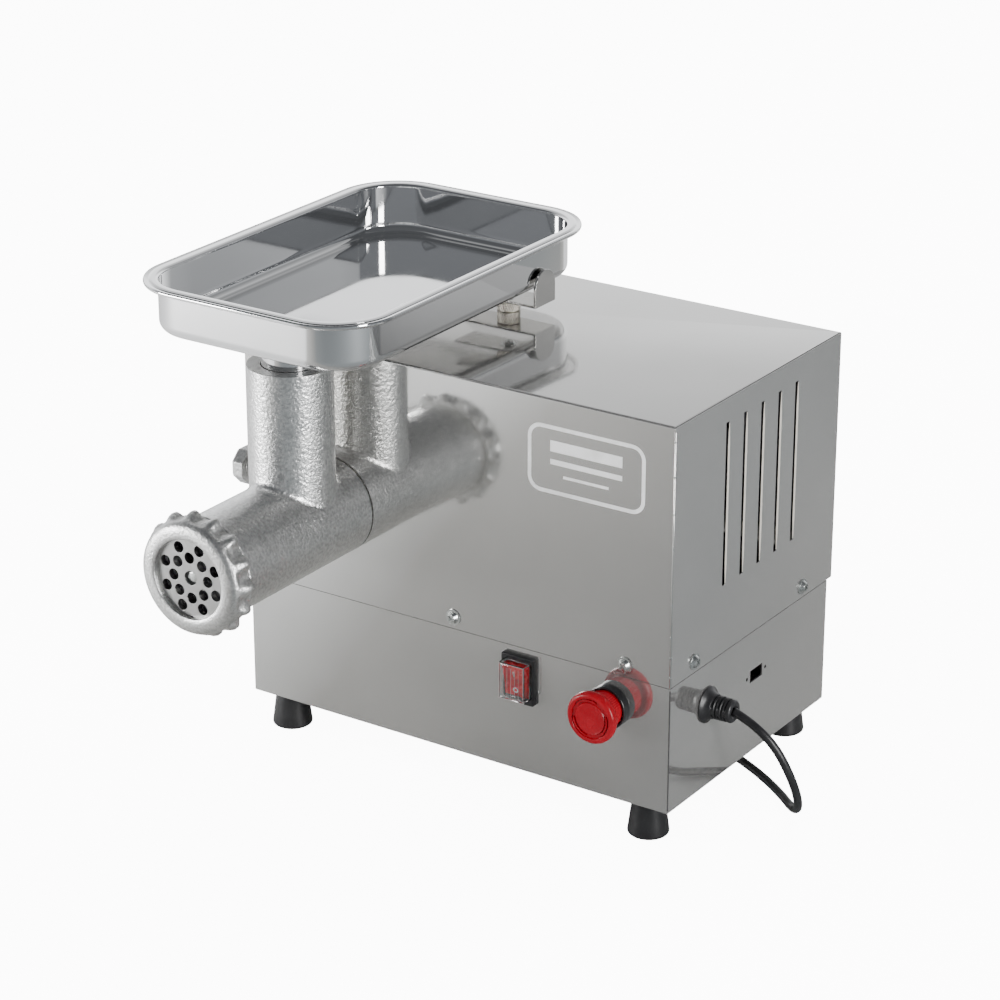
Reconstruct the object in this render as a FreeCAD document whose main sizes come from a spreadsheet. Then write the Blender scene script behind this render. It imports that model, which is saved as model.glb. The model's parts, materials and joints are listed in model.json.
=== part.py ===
import FreeCAD, Part
import math
import os
import re

import Sketcher

# An electric meat grinder: a folded steel cabinet with motor and gearbox, a cast
# grinding head in front, and a loose feed pan above it. Millimetres. X runs to the
# right along the front panel, Y runs back, Z is up from the surface that it stands on.
# The origin is under the middle of the outline of the whole machine without its lead.

DIMENSIONS = {
    # cabinet
    "cabinet_right": 201.7, "cabinet_width": 376, "panel_y": -34.2, "base_depth": 233,
    "cover_depth": 240, "base_z": 27, "seam_z": 127.5, "cabinet_top": 327, "gauge": 1.2,
    "seam_gap": 0.5, "bend": 1.7,
    "lap_low": 121, "lap_high": 147, "screw_row": 137, "screw_a": 187, "screw_b": 38,
    "side_screw_a": 33, "side_screw_b": 193, "slot_first": 72.5, "slot_pitch": 25.1,
    "slot_width": 4.5, "slot_low": 182, "slot_high": 308, "screw_radius": 2.5,
    "port_low": 86.3, "port_height": 9.9, "port_y": 116.5, "port_width": 18,
    "port_screw_gap": 27.5, "port_screw_radius": 1.5,
    # feet
    "foot_inset_x": 24.8, "foot_inset_y": 15, "foot_bottom": 16, "foot_top": 12.4,
    "foot_round": 2.4, "foot_well": 6.2, "foot_hole": 2.6, "foot_head": 4.4, "foot_thread": 2.5,
    # rocker switch
    "rocker_x": 73.8, "rocker_z": 103.4, "bezel_width": 28.6, "bezel_height": 38,
    "bezel_depth": 4, "well_width": 20, "well_height": 27.6, "well_depth": 18,
    "paddle_width": 19.3, "paddle_half": 12.6, "paddle_tilt": 12, "hood_width": 22, "hood_height": 29,
    "hood_depth": 12.4, "hood_wall": 0.9, "housing_wall": 1.6, "paddle_pivot": 2,
    # emergency stop button
    "stop_x": 152, "stop_z": 102.3, "collar_radius": 16.5, "collar_depth": 7.5,
    "barrel_radius": 11, "stem_radius": 7.5, "skirt_radius": 14.4, "mushroom_radius": 20,
    "mushroom_depth": 8.4, "stop_reach": 28.5, "stop_travel": 4.5, "stem_end": 24.4,
    "cap_floor": 3.4, "contact_width": 28, "contact_height": 40, "contact_front": 23.3,
    "contact_back": 55, "locknut_radius": 15, "locknut_depth": 5,
    # grinding head
    "head_x": -95.8, "head_z": 202.4, "head_radius": 38.35, "shoulder_gap": 1,
    "shank_radius": 30, "shank_length": 46, "head_front": 166, "chamber_radius": 27,
    "chamber_back": 14, "mouth_radius": 31.6, "mouth_depth": 12.4, "journal_bore": 12.08,
    "neck_y": 46.5, "neck_radius": 31.8, "neck_top": 328.5, "neck_bore": 21.6,
    "throat_bore": 19.4, "seat_z": 305, "neck_blend": 6,
    # ring nut
    "nut_face": 171.65, "nut_opening": 30, "nut_bore": 38.42, "nut_front_radius": 43,
    "nut_collar": 45, "nut_back": 151, "lug_radius": 49, "lug_front": 167,
    "lug_back": 156.5, "lug_width": 7, "lug_count": 15, "lip_back": 167.4,
    # plate, knife, feed screw
    "plate_radius": 31.4, "plate_front": 167.3, "plate_thickness": 5, "plate_hole": 4.2,
    "hole_ring_inner": 15.4, "hole_ring_outer": 24, "centre_hole": 5.32, "pin_radius": 5.25,
    "pin_sunk": 2, "knife_gap": 0.35, "knife_thickness": 7.5, "knife_reach": 27.5,
    "screw_flight": 26.2, "screw_core": 11, "screw_pitch": 34, "flight_width": 5,
    "journal_radius": 12.02, "tang_side": 14, "tang_reach": 64,
    # clamp for the head
    "clamp_y": 29, "clamp_radius": 6, "knob_radius": 15.2, "knob_out": 30, "knob_depth": 12,
    "socket_radius": 42, "socket_front": 1.4, "socket_bottom": 47.2, "socket_back": 56.2,
    "socket_flange": 54, "socket_flange_depth": 8, "bolt_circle": 48, "socket_cavity": 19,
    "knob_chamfer": 3, "knob_hub": 9, "knob_hub_depth": 5,
    # gearbox and motor
    "case_back": 118, "case_wall": 5, "lay_x": -26.3, "lay_z": 183.8, "motor_x": 35.7,
    "motor_z": 172.9, "teeth_small": 18, "teeth_large": 54, "module_fast": 1.75,
    "module_slow": 2, "cover_plate": 6, "motor_radius": 65, "motor_length": 75,
    "rotor_radius": 36, "spindle_radius": 8, "motor_wall": 5, "end_shield": 6,
    "cowl_depth": 20, "cowl_wall": 1.5, "shaft_radius": 12.5, "lay_radius": 8,
    "capacitor_radius": 19, "capacitor_length": 72, "capacitor_y": 120, "capacitor_inset": 44,
    "capacitor_rise": 22, "clip_gauge": 1.6, "clip_y": 149, "clip_width": 14,
    "terminal_inset": 60, "terminal_length": 46, "terminal_y": 84, "terminal_width": 20,
    "terminal_height": 12, "ridge_pitch": 11,
    # feed pan and its stay
    "rim_left": -205, "rim_right": 6.3, "rim_front": -143, "rim_back": 186.9,
    "rim_z": 385.7, "rim_corner": 50, "bead_radius": 2.3, "wall_inset": 10.5,
    "pan_bottom": 348, "pan_gauge": 1, "pan_round": 8, "spout_radius": 20.9,
    "spout_wall": 1.5, "spout_low": 305.4, "stay_x": -33, "stay_y": 111, "stay_z": 337,
    "stay_gauge": 2, "stay_width": 27, "stay_left": -75, "stay_right": 0.1,
    "lip_top": 364.5, "stay_post": 9, "stay_hole": 3.2,
    # lead
    "gland_y": 19.3, "gland_z": 94.5, "gland_flange": 14, "gland_body": 8.7,
    "gland_reach": 23, "lead_radius": 3.3, "coil_x": 88, "coil_y": 288,
    "coil_outer": 43.2, "coil_inner": 29.6, "coil_height": 13.6, "coil_bottom": 0.3,
    "gland_thread": 8, "gland_nut": 12.5, "nut_depth": 4.6, "relief_step": 3.2,
    "plug_radius": 13, "plug_neck": 20, "plug_body": 30, "pin_radius_small": 2.4,
    "pin_length": 19, "pin_gap": 9.5, "earth_lift": 3,
}

doc = FreeCAD.newDocument("MeatGrinder")
sheet = doc.addObject("Spreadsheet::Sheet", "Dims")
for row, (alias, value) in enumerate(DIMENSIONS.items(), start=1):
    sheet.set("A%d" % row, alias)
    sheet.set("B%d" % row, str(value))
    sheet.setAlias("B%d" % row, alias)
doc.recompute()

nodes = []
TURNED = {"x": FreeCAD.Rotation(FreeCAD.Vector(0, 1, 0), 90),
          "y": FreeCAD.Rotation(FreeCAD.Vector(1, 0, 0), -90),
          "z": FreeCAD.Rotation()}
ORIGIN = FreeCAD.Vector(0, 0, 0)


def vector(x, y, z):
    return FreeCAD.Vector(x, y, z)


def formula(text):
    """Gives every dimension's name in a formula the sheet's own prefix."""
    swap = lambda found: "Dims." + found[0] if found[0] in DIMENSIONS else found[0]
    return re.sub(r"[a-z_]+", swap, str(text))


def size(text):
    """The value of a formula of dimensions, in millimetres."""
    return float(sheet.evalExpression(formula(text)))


def put(part, place):
    for axis, text in zip("xyz", place):
        part.setExpression("Placement.Base." + axis, formula(text))


def block(low, high):
    """A box between two corners."""
    part = doc.addObject("Part::Box", "Block")
    for side, start, end in zip(("Length", "Width", "Height"), low, high):
        part.setExpression(side, formula("(%s) - (%s)" % (end, start)))
    put(part, low)
    return part


def rod(radius, length, start, axis="y"):
    """A cylinder that grows from start along an axis."""
    part = doc.addObject("Part::Cylinder", "Rod")
    part.Placement = FreeCAD.Placement(ORIGIN, TURNED[axis])
    part.setExpression("Radius", formula(radius))
    part.setExpression("Height", formula(length))
    put(part, start)
    return part


def cone(radius, end_radius, length, start, axis="y"):
    part = doc.addObject("Part::Cone", "Cone")
    part.Placement = FreeCAD.Placement(ORIGIN, TURNED[axis])
    part.setExpression("Radius1", formula(radius))
    part.setExpression("Radius2", formula(end_radius))
    part.setExpression("Height", formula(length))
    put(part, start)
    return part


def fuse(*parts):
    if len(parts) == 1:
        return parts[0]
    joined = doc.addObject("Part::MultiFuse", "Joined")
    joined.Shapes = list(parts)
    joined.Refine = True
    return joined


def cut(base, *tools):
    left = doc.addObject("Part::Cut", "Trimmed")
    left.Base = base
    left.Tool = fuse(*tools)
    left.Refine = True
    return left


def rounded(part, radius, wanted):
    """Rounds the edges of a primitive whose middles pass the test named wanted."""
    doc.recompute()
    soft = doc.addObject("Part::Fillet", "Rounded")
    soft.Base = part
    soft.Edges = [(number, size(radius), size(radius))
                  for number, edge in enumerate(part.Shape.Edges, start=1)
                  if wanted(edge)]
    return soft


def node(name, part):
    part.Label = name
    nodes.append(part)
    return part


def feature(name, shape):
    """A sub-part whose shape is worked out here from the sheet's sizes."""
    part = doc.addObject("Part::Feature", "Shaped")
    part.Shape = shape
    return node(name, part)


def group(name, solids):
    """Identical fasteners that share one node."""
    return feature(name, Part.makeCompound(solids))


def on_y(fit):
    """A place measured forward from the front panel, as a formula of Y."""
    return "panel_y - (%s)" % fit


def sketch_on(body, plane):
    sketch = body.newObject("Sketcher::SketchObject", "Sketch")
    origin = next(item for item in body.Origin.OriginFeatures if item.Role == plane)
    sketch.AttachmentSupport = [(origin, "")]
    sketch.MapMode = "FlatFace"
    return sketch


def outline(sketch, corners):
    """A closed polygon whose corners are tied to formulas of the dimensions."""
    points = [vector(size(u), size(v), 0) for u, v in corners]
    for start, end in zip(points, points[1:] + points[:1]):
        sketch.addGeometry(Part.LineSegment(start, end))
    count = len(points)
    for side in range(count):
        sketch.addConstraint(Sketcher.Constraint("Coincident", side, 2, (side + 1) % count, 1))
    for side, corner in enumerate(corners):
        for kind, text in zip(("DistanceX", "DistanceY"), corner):
            place = sketch.addConstraint(Sketcher.Constraint(kind, -1, 1, side, 1, size(text)))
            sketch.setExpression("Constraints[%d]" % place, formula(text))


def ring(sketch, u, v, radius):
    """A circle tied to its middle and its radius."""
    circle = Part.Circle(vector(size(u), size(v), 0), vector(0, 0, 1), size(radius))
    curve = sketch.addGeometry(circle)
    terms = [("DistanceX", (-1, 1, curve, 3), u), ("DistanceY", (-1, 1, curve, 3), v),
             ("Radius", (curve,), radius)]
    for kind, where, text in terms:
        place = sketch.addConstraint(Sketcher.Constraint(kind, *where, size(text)))
        sketch.setExpression("Constraints[%d]" % place, formula(text))


def pad(body, sketch, length, midplane=False):
    padded = body.newObject("PartDesign::Pad", "Pad")
    padded.Profile = sketch
    padded.Midplane = midplane
    padded.setExpression("Length", formula(length))
    return padded


CABINET_LEFT = "(cabinet_right - cabinet_width)"
BASE_BACK = "(panel_y + base_depth)"
COVER_BACK = "(panel_y + cover_depth)"


# --- cabinet -----------------------------------------------------------------

def tray_shell(inset, back, low, high, floor):
    """Four sheet walls round the cabinet, one gauge thick, with or without a floor."""
    outer = block((CABINET_LEFT + " + %s" % inset, "panel_y + %s" % inset, low),
                  ("cabinet_right - %s" % inset, "%s - %s" % (back, inset), high))
    if floor:
        outer = rounded(outer, "bend", lambda edge: edge.CenterOfMass.z < size(low) + 0.1)
    inner = block((CABINET_LEFT + " + %s + gauge" % inset, "panel_y + %s + gauge" % inset,
                   "%s + gauge" % low if floor else "%s - 1" % low),
                  ("cabinet_right - %s - gauge" % inset, "%s - %s - gauge" % (back, inset),
                   "%s + 1" % high))
    return cut(outer, inner)


FRONT_SCREWS = ("cabinet_right - screw_b", "cabinet_right - screw_a",
                CABINET_LEFT + " + screw_b")
SIDE_SCREWS = ("panel_y + side_screw_a", "panel_y + side_screw_b")
FEET = {"front_left": (CABINET_LEFT + " + foot_inset_x", "panel_y + foot_inset_y"),
        "front_right": ("cabinet_right - foot_inset_x", "panel_y + foot_inset_y"),
        "rear_left": (CABINET_LEFT + " + foot_inset_x", BASE_BACK + " - foot_inset_y"),
        "rear_right": ("cabinet_right - foot_inset_x", BASE_BACK + " - foot_inset_y")}


def screw_holes(radius):
    """Holes for the cover's screws, through the front and both sides."""
    front = [rod(radius, "6", (x, "panel_y - 2", "screw_row")) for x in FRONT_SCREWS]
    sides = [rod(radius, "6", (start, y, "screw_row"), "x")
             for y in SIDE_SCREWS for start in ("cabinet_right - 4", CABINET_LEFT + " - 2")]
    return front + sides


def make_base():
    walls = tray_shell("0", BASE_BACK, "base_z", "seam_z", True)
    lap = tray_shell("gauge", BASE_BACK, "lap_low", "lap_high", False)
    port_y = "panel_y + port_y"
    middle = "panel_y + port_y + port_width / 2"
    holes = [
        block(("rocker_x - well_width / 2 - 2.2", "panel_y - 2", "rocker_z - well_height / 2 - 2.2"),
              ("rocker_x + well_width / 2 + 2.2", "panel_y + 5", "rocker_z + well_height / 2 + 2.2")),
        rod("barrel_radius + 0.2", "6", ("stop_x", "panel_y - 2", "stop_z")),
        rod("8.2", "6", ("cabinet_right - 4", "gland_y", "gland_z"), "x"),
        block(("cabinet_right - 3", port_y, "port_low"),
              ("cabinet_right + 1", port_y + " + port_width", "port_low + port_height"))]
    for side in ("-", "+"):
        y = "%s %s port_screw_gap / 2" % (middle, side)
        holes.append(rod("port_screw_radius", "6",
                         ("cabinet_right - 4", y, "port_low + port_height / 2"), "x"))
    holes += [rod("2.7", "4", (x, y, "base_z - 1"), "z") for x, y in FEET.values()]
    holes += screw_holes("screw_radius + 0.1")
    node("base_pan", cut(fuse(walls, lap), *holes))


def make_cover():
    folded = block((CABINET_LEFT, "panel_y", "seam_z + seam_gap"),
                   ("cabinet_right", COVER_BACK, "cabinet_top"))
    shell = cut(rounded(folded, "bend", lambda edge: edge.CenterOfMass.z > size("cabinet_top") - 0.1),
                block((CABINET_LEFT + " + gauge", "panel_y + gauge", "seam_z - 1"),
                      ("cabinet_right - gauge", COVER_BACK + " - gauge", "cabinet_top - gauge")))
    holes = [rod("shank_radius + 1", "6", ("head_x", "panel_y - 2", "head_z")),
             rod("clamp_radius + 1", "6", (CABINET_LEFT + " - 2", "panel_y + clamp_y", "head_z"), "x"),
             rod("3.3", "4", ("stay_x", "stay_y", "cabinet_top - 3"), "z")]
    for number in range(5):
        y = "panel_y + slot_first + %d * slot_pitch" % number
        for start in ("cabinet_right - 3", CABINET_LEFT + " - 1"):
            holes.append(block((start, y + " - slot_width / 2", "slot_low"),
                               (start + " + 4", y + " + slot_width / 2", "slot_high")))
    node("top_cover", cut(shell, *holes, *screw_holes("screw_radius + 0.15")))


def pan_screw(place, outward, radius, reach):
    """A washer, a domed cross-head and a shank, pointing into the sheet."""
    at = vector(*place)
    out = vector(*outward)
    washer = Part.makeCylinder(radius * 2.5, 0.8, at, out)
    head = Part.makeCone(radius * 1.9, radius * 1.25, radius * 1.1, at + out * 0.8, out)
    shank = Part.makeCylinder(radius, reach, at - out * reach, out)
    slot_depth = radius * 0.6
    top = at + out * (0.8 + radius * 1.1 - slot_depth)
    solid = washer.fuse([head, shank]).removeSplitter()
    for turn in (45, 135):
        bar = Part.makeBox(radius * 2, radius * 0.35, slot_depth + 1,
                           vector(-radius, -radius * 0.175, 0))
        bar.Placement = FreeCAD.Placement(top, FreeCAD.Rotation(vector(0, 0, 1), out)
                                          * FreeCAD.Rotation(vector(0, 0, 1), turn))
        solid = solid.cut(bar)
    return solid


def make_cover_screws():
    row = size("screw_row")
    solids = [pan_screw((size(x), size("panel_y"), row), (0, -1, 0), size("screw_radius"), 8)
              for x in FRONT_SCREWS]
    for y in SIDE_SCREWS:
        solids.append(pan_screw((size("cabinet_right"), size(y), row), (1, 0, 0),
                                size("screw_radius"), 8))
        solids.append(pan_screw((size(CABINET_LEFT), size(y), row), (-1, 0, 0),
                                size("screw_radius"), 8))
    group("cover_screws", solids)


def make_feet():
    lowest = lambda edge: edge.CenterOfMass.z < 0.1 and edge.Length > 20
    for corner, (x, y) in FEET.items():
        pad_of_rubber = rounded(cone("foot_bottom", "foot_top", "base_z", (x, y, "0"), "z"),
                                "foot_round", lowest)
        well = rod("foot_well", "14", (x, y, "-1"), "z")
        hole = rod("foot_hole", "base_z + 2", (x, y, "-1"), "z")
        node("rubber_foot_" + corner, cut(pad_of_rubber, well, hole))
    screws = []
    for x, y in FEET.values():
        at = vector(size(x), size(y), 0)
        head = Part.makeCylinder(size("foot_head"), 3, at + vector(0, 0, 10))
        shank = Part.makeCylinder(size("foot_thread"), 22, at + vector(0, 0, 12.9))
        nut = Part.makeCylinder(size("foot_head"), 3.5, at + vector(0, 0, size("base_z + gauge")))
        screws.append(head.fuse([shank, nut]).removeSplitter())
    group("foot_screws", screws)


# --- switches ----------------------------------------------------------------

def make_rocker():
    face = "panel_y - bezel_depth"
    half = ("well_width / 2", "well_height / 2")
    bezel = block(("rocker_x - bezel_width / 2", face, "rocker_z - bezel_height / 2"),
                  ("rocker_x + bezel_width / 2", "panel_y", "rocker_z + bezel_height / 2"))
    housing = block(("rocker_x - %s - housing_wall" % half[0], "panel_y - 1",
                     "rocker_z - %s - housing_wall" % half[1]),
                    ("rocker_x + %s + housing_wall" % half[0], face + " + well_depth + 6",
                     "rocker_z + %s + housing_wall" % half[1]))
    well = block(("rocker_x - " + half[0], face + " - 1", "rocker_z - " + half[1]),
                 ("rocker_x + " + half[0], face + " + well_depth", "rocker_z + " + half[1]))
    node("rocker_housing", cut(fuse(bezel, housing), well))

    body = doc.addObject("PartDesign::Body", "Paddle")
    sketch = sketch_on(body, "YZ_Plane")
    # the two faces of the paddle meet at its middle; its lower half is pressed in
    outline(sketch, [("-5.2", "-paddle_half"), ("-4.3", "0"), ("-5.2", "paddle_half"),
                     ("-1", "paddle_half + 0.3"), ("2.5", "paddle_half - 0.6"), ("5.5", "4"),
                     ("5.5", "-4"), ("2.5", "0.6 - paddle_half"), ("-1", "-paddle_half - 0.3")])
    pad(body, sketch, "paddle_width", True)
    body.Placement = FreeCAD.Placement(ORIGIN, FreeCAD.Rotation(vector(1, 0, 0),
                                                                DIMENSIONS["paddle_tilt"]))
    put(body, ("rocker_x", "panel_y - paddle_pivot", "rocker_z"))
    node("rocker_paddle", body)

    outside = block(("rocker_x - hood_width / 2", "panel_y - hood_depth", "rocker_z - hood_height / 2"),
                    ("rocker_x + hood_width / 2", face, "rocker_z + hood_height / 2"))
    soft = rounded(outside, "2", lambda edge: edge.CenterOfMass.y < size("panel_y - hood_depth") + 4)
    hollow = block(("rocker_x - hood_width / 2 + hood_wall", "panel_y - hood_depth + hood_wall",
                    "rocker_z - hood_height / 2 + hood_wall"),
                   ("rocker_x + hood_width / 2 - hood_wall", face + " + 1",
                    "rocker_z + hood_height / 2 - hood_wall"))
    node("rocker_hood", cut(soft, hollow))


def make_stop_button():
    at = lambda y: ("stop_x", y, "stop_z")
    collar = rod("collar_radius", "collar_depth", at("panel_y - collar_depth"))
    barrel = rod("barrel_radius", "24", at("panel_y - 1"))
    recess = rod("skirt_radius + 0.4", "collar_depth - 0.8", at("panel_y - collar_depth - 0.2"))
    bore = rod("stem_radius + 0.35", "40", at("panel_y - 14"))
    node("stop_collar", cut(fuse(collar, barrel), recess, bore))
    node("stop_locknut", cut(rod("locknut_radius", "locknut_depth", at("panel_y + gauge")),
                             rod("barrel_radius + 0.05", "locknut_depth + 2", at("panel_y"))))
    contacts = block(("stop_x - contact_width / 2", "panel_y + contact_front",
                      "stop_z - contact_height / 2"),
                     ("stop_x + contact_width / 2", "panel_y + contact_back",
                      "stop_z + contact_height / 2"))
    plunger_room = rod("stem_radius + 1", "stem_end + stop_travel + 5 - contact_front",
                       at("panel_y + contact_front - 1"))
    node("stop_contacts", cut(contacts, plunger_room))
    node("stop_stem", rod("stem_radius", "stop_reach + stem_end - cap_floor",
                          at("panel_y - stop_reach + cap_floor")))
    face = "panel_y - stop_reach"
    mushroom = rounded(rod("mushroom_radius", "mushroom_depth", at(face)), "2.6",
                       lambda edge: edge.Length > 60)
    skirt = rod("skirt_radius", "stop_reach - mushroom_depth - collar_depth + 2",
                at(face + " + mushroom_depth - 0.5"))
    socket = rod("stem_radius + 0.05", "40", at(face + " + 3.3"))
    node("stop_cap", cut(fuse(mushroom, skirt), socket))


# --- grinding head -----------------------------------------------------------

def on_axis(y):
    return ("head_x", y, "head_z")


def make_head():
    neck = ("head_x", "panel_y - neck_y")
    tube = rod("head_radius", "head_front - shoulder_gap", on_axis(on_y("head_front")))
    shank = rod("shank_radius", "shank_length + shoulder_gap + 1", on_axis("panel_y - shoulder_gap - 1"))
    throat = rod("neck_radius", "neck_top - head_z", (*neck, "head_z"), "z")
    chamber = rod("chamber_radius", "head_front - chamber_back", on_axis(on_y("head_front")))
    mouth = rod("mouth_radius", "mouth_depth", on_axis(on_y("head_front + 0.1")))
    journal = rod("journal_bore", "chamber_back + shank_length + 2",
                  on_axis(on_y("chamber_back + 1")))
    passage = rod("throat_bore", "neck_top - head_z", (*neck, "head_z"), "z")
    seat = rod("neck_bore", "neck_top - seat_z + 1", (*neck, "seat_z"), "z")
    keyway = rod("1.6", "8", ("head_x", on_y("head_front - 2.2"), "head_z - mouth_radius - 5"), "z")
    crossing = lambda edge: (edge.Length > 60 and size("head_z") + 8 < edge.CenterOfMass.z
                             < size("head_z + head_radius"))
    casting = rounded(fuse(tube, shank, throat), "neck_blend", crossing)
    node("head_casting", cut(casting, chamber, mouth, journal, passage, seat, keyway))
    node("plate_key", rod("1.55", "6.6", ("head_x", on_y("head_front - 2.2"),
                                          "head_z - mouth_radius - 4.9"), "z"))


def make_ring_nut():
    front = rounded(rod("nut_front_radius", "nut_face - lug_back", on_axis(on_y("nut_face"))),
                    "5.5", lambda edge: edge.Length > 60 and edge.CenterOfMass.y < -200)
    collar = rod("nut_collar", "lug_back + 4 - nut_back", on_axis(on_y("lug_back + 4")))
    inner, front_tip, back_tip = size("nut_bore + 2"), size("nut_front_radius"), size("lug_radius")
    half, depth = size("lug_width") / 2, size("lug_front - lug_back")
    corners = [vector(inner, 0, 0), vector(front_tip, 0, 0), vector(back_tip, depth * 0.6, 0),
               vector(back_tip, depth, 0), vector(inner, depth, 0)]
    side = Part.Face(Part.makePolygon(corners + corners[:1]))
    lugs = []
    for number in range(DIMENSIONS["lug_count"]):
        lug = side.extrude(vector(0, 0, 2 * half))
        lug.translate(vector(0, 0, -half))
        lug.rotate(ORIGIN, vector(0, 1, 0), 1 - number * 360 / DIMENSIONS["lug_count"])
        lug.translate(vector(size("head_x"), size(on_y("lug_front")), size("head_z")))
        lugs.append(lug)
    crown = doc.addObject("Part::Feature", "Crown")
    crown.Shape = lugs[0].multiFuse(lugs[1:])
    opening = rod("nut_opening", "30", on_axis(on_y("nut_face + 2")))
    bore = rod("nut_bore", "40", on_axis(on_y("lip_back")))
    node("ring_nut", cut(fuse(front, collar, crown), opening, bore))


def make_plate():
    body = doc.addObject("PartDesign::Body", "Plate")
    disc = sketch_on(body, "XZ_Plane")
    ring(disc, "0", "0", "plate_radius")
    pad(body, disc, "plate_thickness")
    doc.recompute()
    solid = body.Shape.Volume
    rings = [("hole_ring_inner", 2), ("hole_ring_outer", 24.5)]
    for radius, start in rings:
        sketch = sketch_on(body, "XZ_Plane")
        turn = math.radians(start)
        ring(sketch, "%s * %.6f" % (radius, math.cos(turn)), "%s * %.6f" % (radius, math.sin(turn)),
             "plate_hole")
        drilled = body.newObject("PartDesign::Pocket", "Drilled")
        drilled.Profile = sketch
        drilled.Type = 1
        drilled.Midplane = True
        doc.recompute()
        pattern = body.newObject("PartDesign::PolarPattern", "Pattern")
        pattern.Originals = [drilled]
        pattern.Axis = (next(item for item in body.Origin.OriginFeatures
                             if item.Role == "Y_Axis"), [""])
        pattern.Angle = 360
        pattern.Occurrences = 8
        body.Tip = pattern
        doc.recompute()
    middle = sketch_on(body, "XZ_Plane")
    ring(middle, "0", "0", "centre_hole")
    drilled = body.newObject("PartDesign::Pocket", "Centre")
    drilled.Profile = middle
    drilled.Type = 1
    drilled.Midplane = True
    notch = sketch_on(body, "XZ_Plane")
    ring(notch, "0", "-plate_radius", "2")
    slotted = body.newObject("PartDesign::Pocket", "Notch")
    slotted.Profile = notch
    slotted.Type = 1
    slotted.Midplane = True
    body.Tip = slotted
    # a pad on the XZ plane grows towards -Y
    put(body, ("head_x", on_y("plate_front - plate_thickness"), "head_z"))
    doc.recompute()
    drilled_away = (16 * math.pi * size("plate_hole") ** 2 + math.pi * size("centre_hole") ** 2)
    print("plate: drilled away %.1f of %.1f mm3 expected"
          % (solid - body.Shape.Volume, drilled_away * size("plate_thickness")))
    node("grinding_plate", body)


def make_knife():
    """A four-armed knife whose cutting edges lie along the plate."""
    thickness = size("knife_thickness")
    reach = size("knife_reach")
    hub = Part.makeCylinder(11, thickness, ORIGIN, vector(0, 1, 0))
    arms = []
    for number in range(4):
        blade = Part.makePolygon([vector(4, 0, -4.5), vector(reach, 0, -5.5), vector(reach, 0, 2.5),
                                  vector(9, 0, 6), vector(4, 0, -4.5)])
        arm = Part.Face(blade).extrude(vector(0, thickness, 0))
        arm.rotate(ORIGIN, vector(0, 1, 0), 90 * number + 30)
        arms.append(arm)
    square = Part.makeBox(11.1, thickness + 2, 11.1, vector(-5.55, -1, -5.55))
    limit = Part.makeCylinder(reach, thickness, ORIGIN, vector(0, 1, 0))
    solid = hub.multiFuse(arms).common(limit).cut(square).removeSplitter()
    part = feature("knife", solid)
    put(part, on_axis(on_y("plate_front - plate_thickness - knife_gap")))


def make_feed_screw():
    """A tapered core with one helical flight, a journal, a driving tang and a pin."""
    knife_back = size("plate_front - plate_thickness - knife_gap - knife_thickness")
    length = knife_back - size("chamber_back") - 0.5
    core_radius = size("screw_core")
    core = Part.makeCone(core_radius, core_radius + 4, length)
    helix = Part.makeHelix(size("screw_pitch"), length - size("flight_width"), core_radius - 1)
    half = size("flight_width") / 2
    inner, outer = core_radius - 1, size("screw_flight")
    corners = [vector(inner, 0, -half), vector(outer, 0, -half * 0.7), vector(outer, 0, half * 0.7),
               vector(inner, 0, half)]
    profile = Part.makePolygon(corners + corners[:1])
    flight = Part.Wire(helix).makePipeShell([profile], True, True)
    flight.translate(vector(0, 0, half))
    screw = core.fuse(flight)
    journal = Part.makeCylinder(size("journal_radius"), size("chamber_back + shank_length") + 0.4,
                                vector(0, 0, length - 0.1))
    side = size("tang_side")
    tang_start = length + size("chamber_back + shank_length")
    tang = Part.makeBox(side, side, size("tang_reach - shank_length"),
                        vector(-side / 2, -side / 2, tang_start))
    square = Part.makeBox(11, 11, size("knife_thickness") + 0.3,
                          vector(-5.5, -5.5, -size("knife_thickness") - 0.2))
    screw = screw.fuse([journal, tang, square]).removeSplitter()
    screw.rotate(ORIGIN, vector(1, 0, 0), -90)
    part = feature("feed_screw", screw)
    put(part, on_axis(on_y(knife_back)))
    node("screw_pin", rod("pin_radius", "plate_thickness + knife_gap - pin_sunk - 0.2",
                          on_axis(on_y("plate_front - pin_sunk"))))


# --- head clamp --------------------------------------------------------------

BOLT_PLACES = [("head_x + bolt_circle * %.6f" % math.cos(math.radians(turn)),
                "head_z + bolt_circle * %.6f" % math.sin(math.radians(turn)))
               for turn in (45, 135, 225, 315)]


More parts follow.
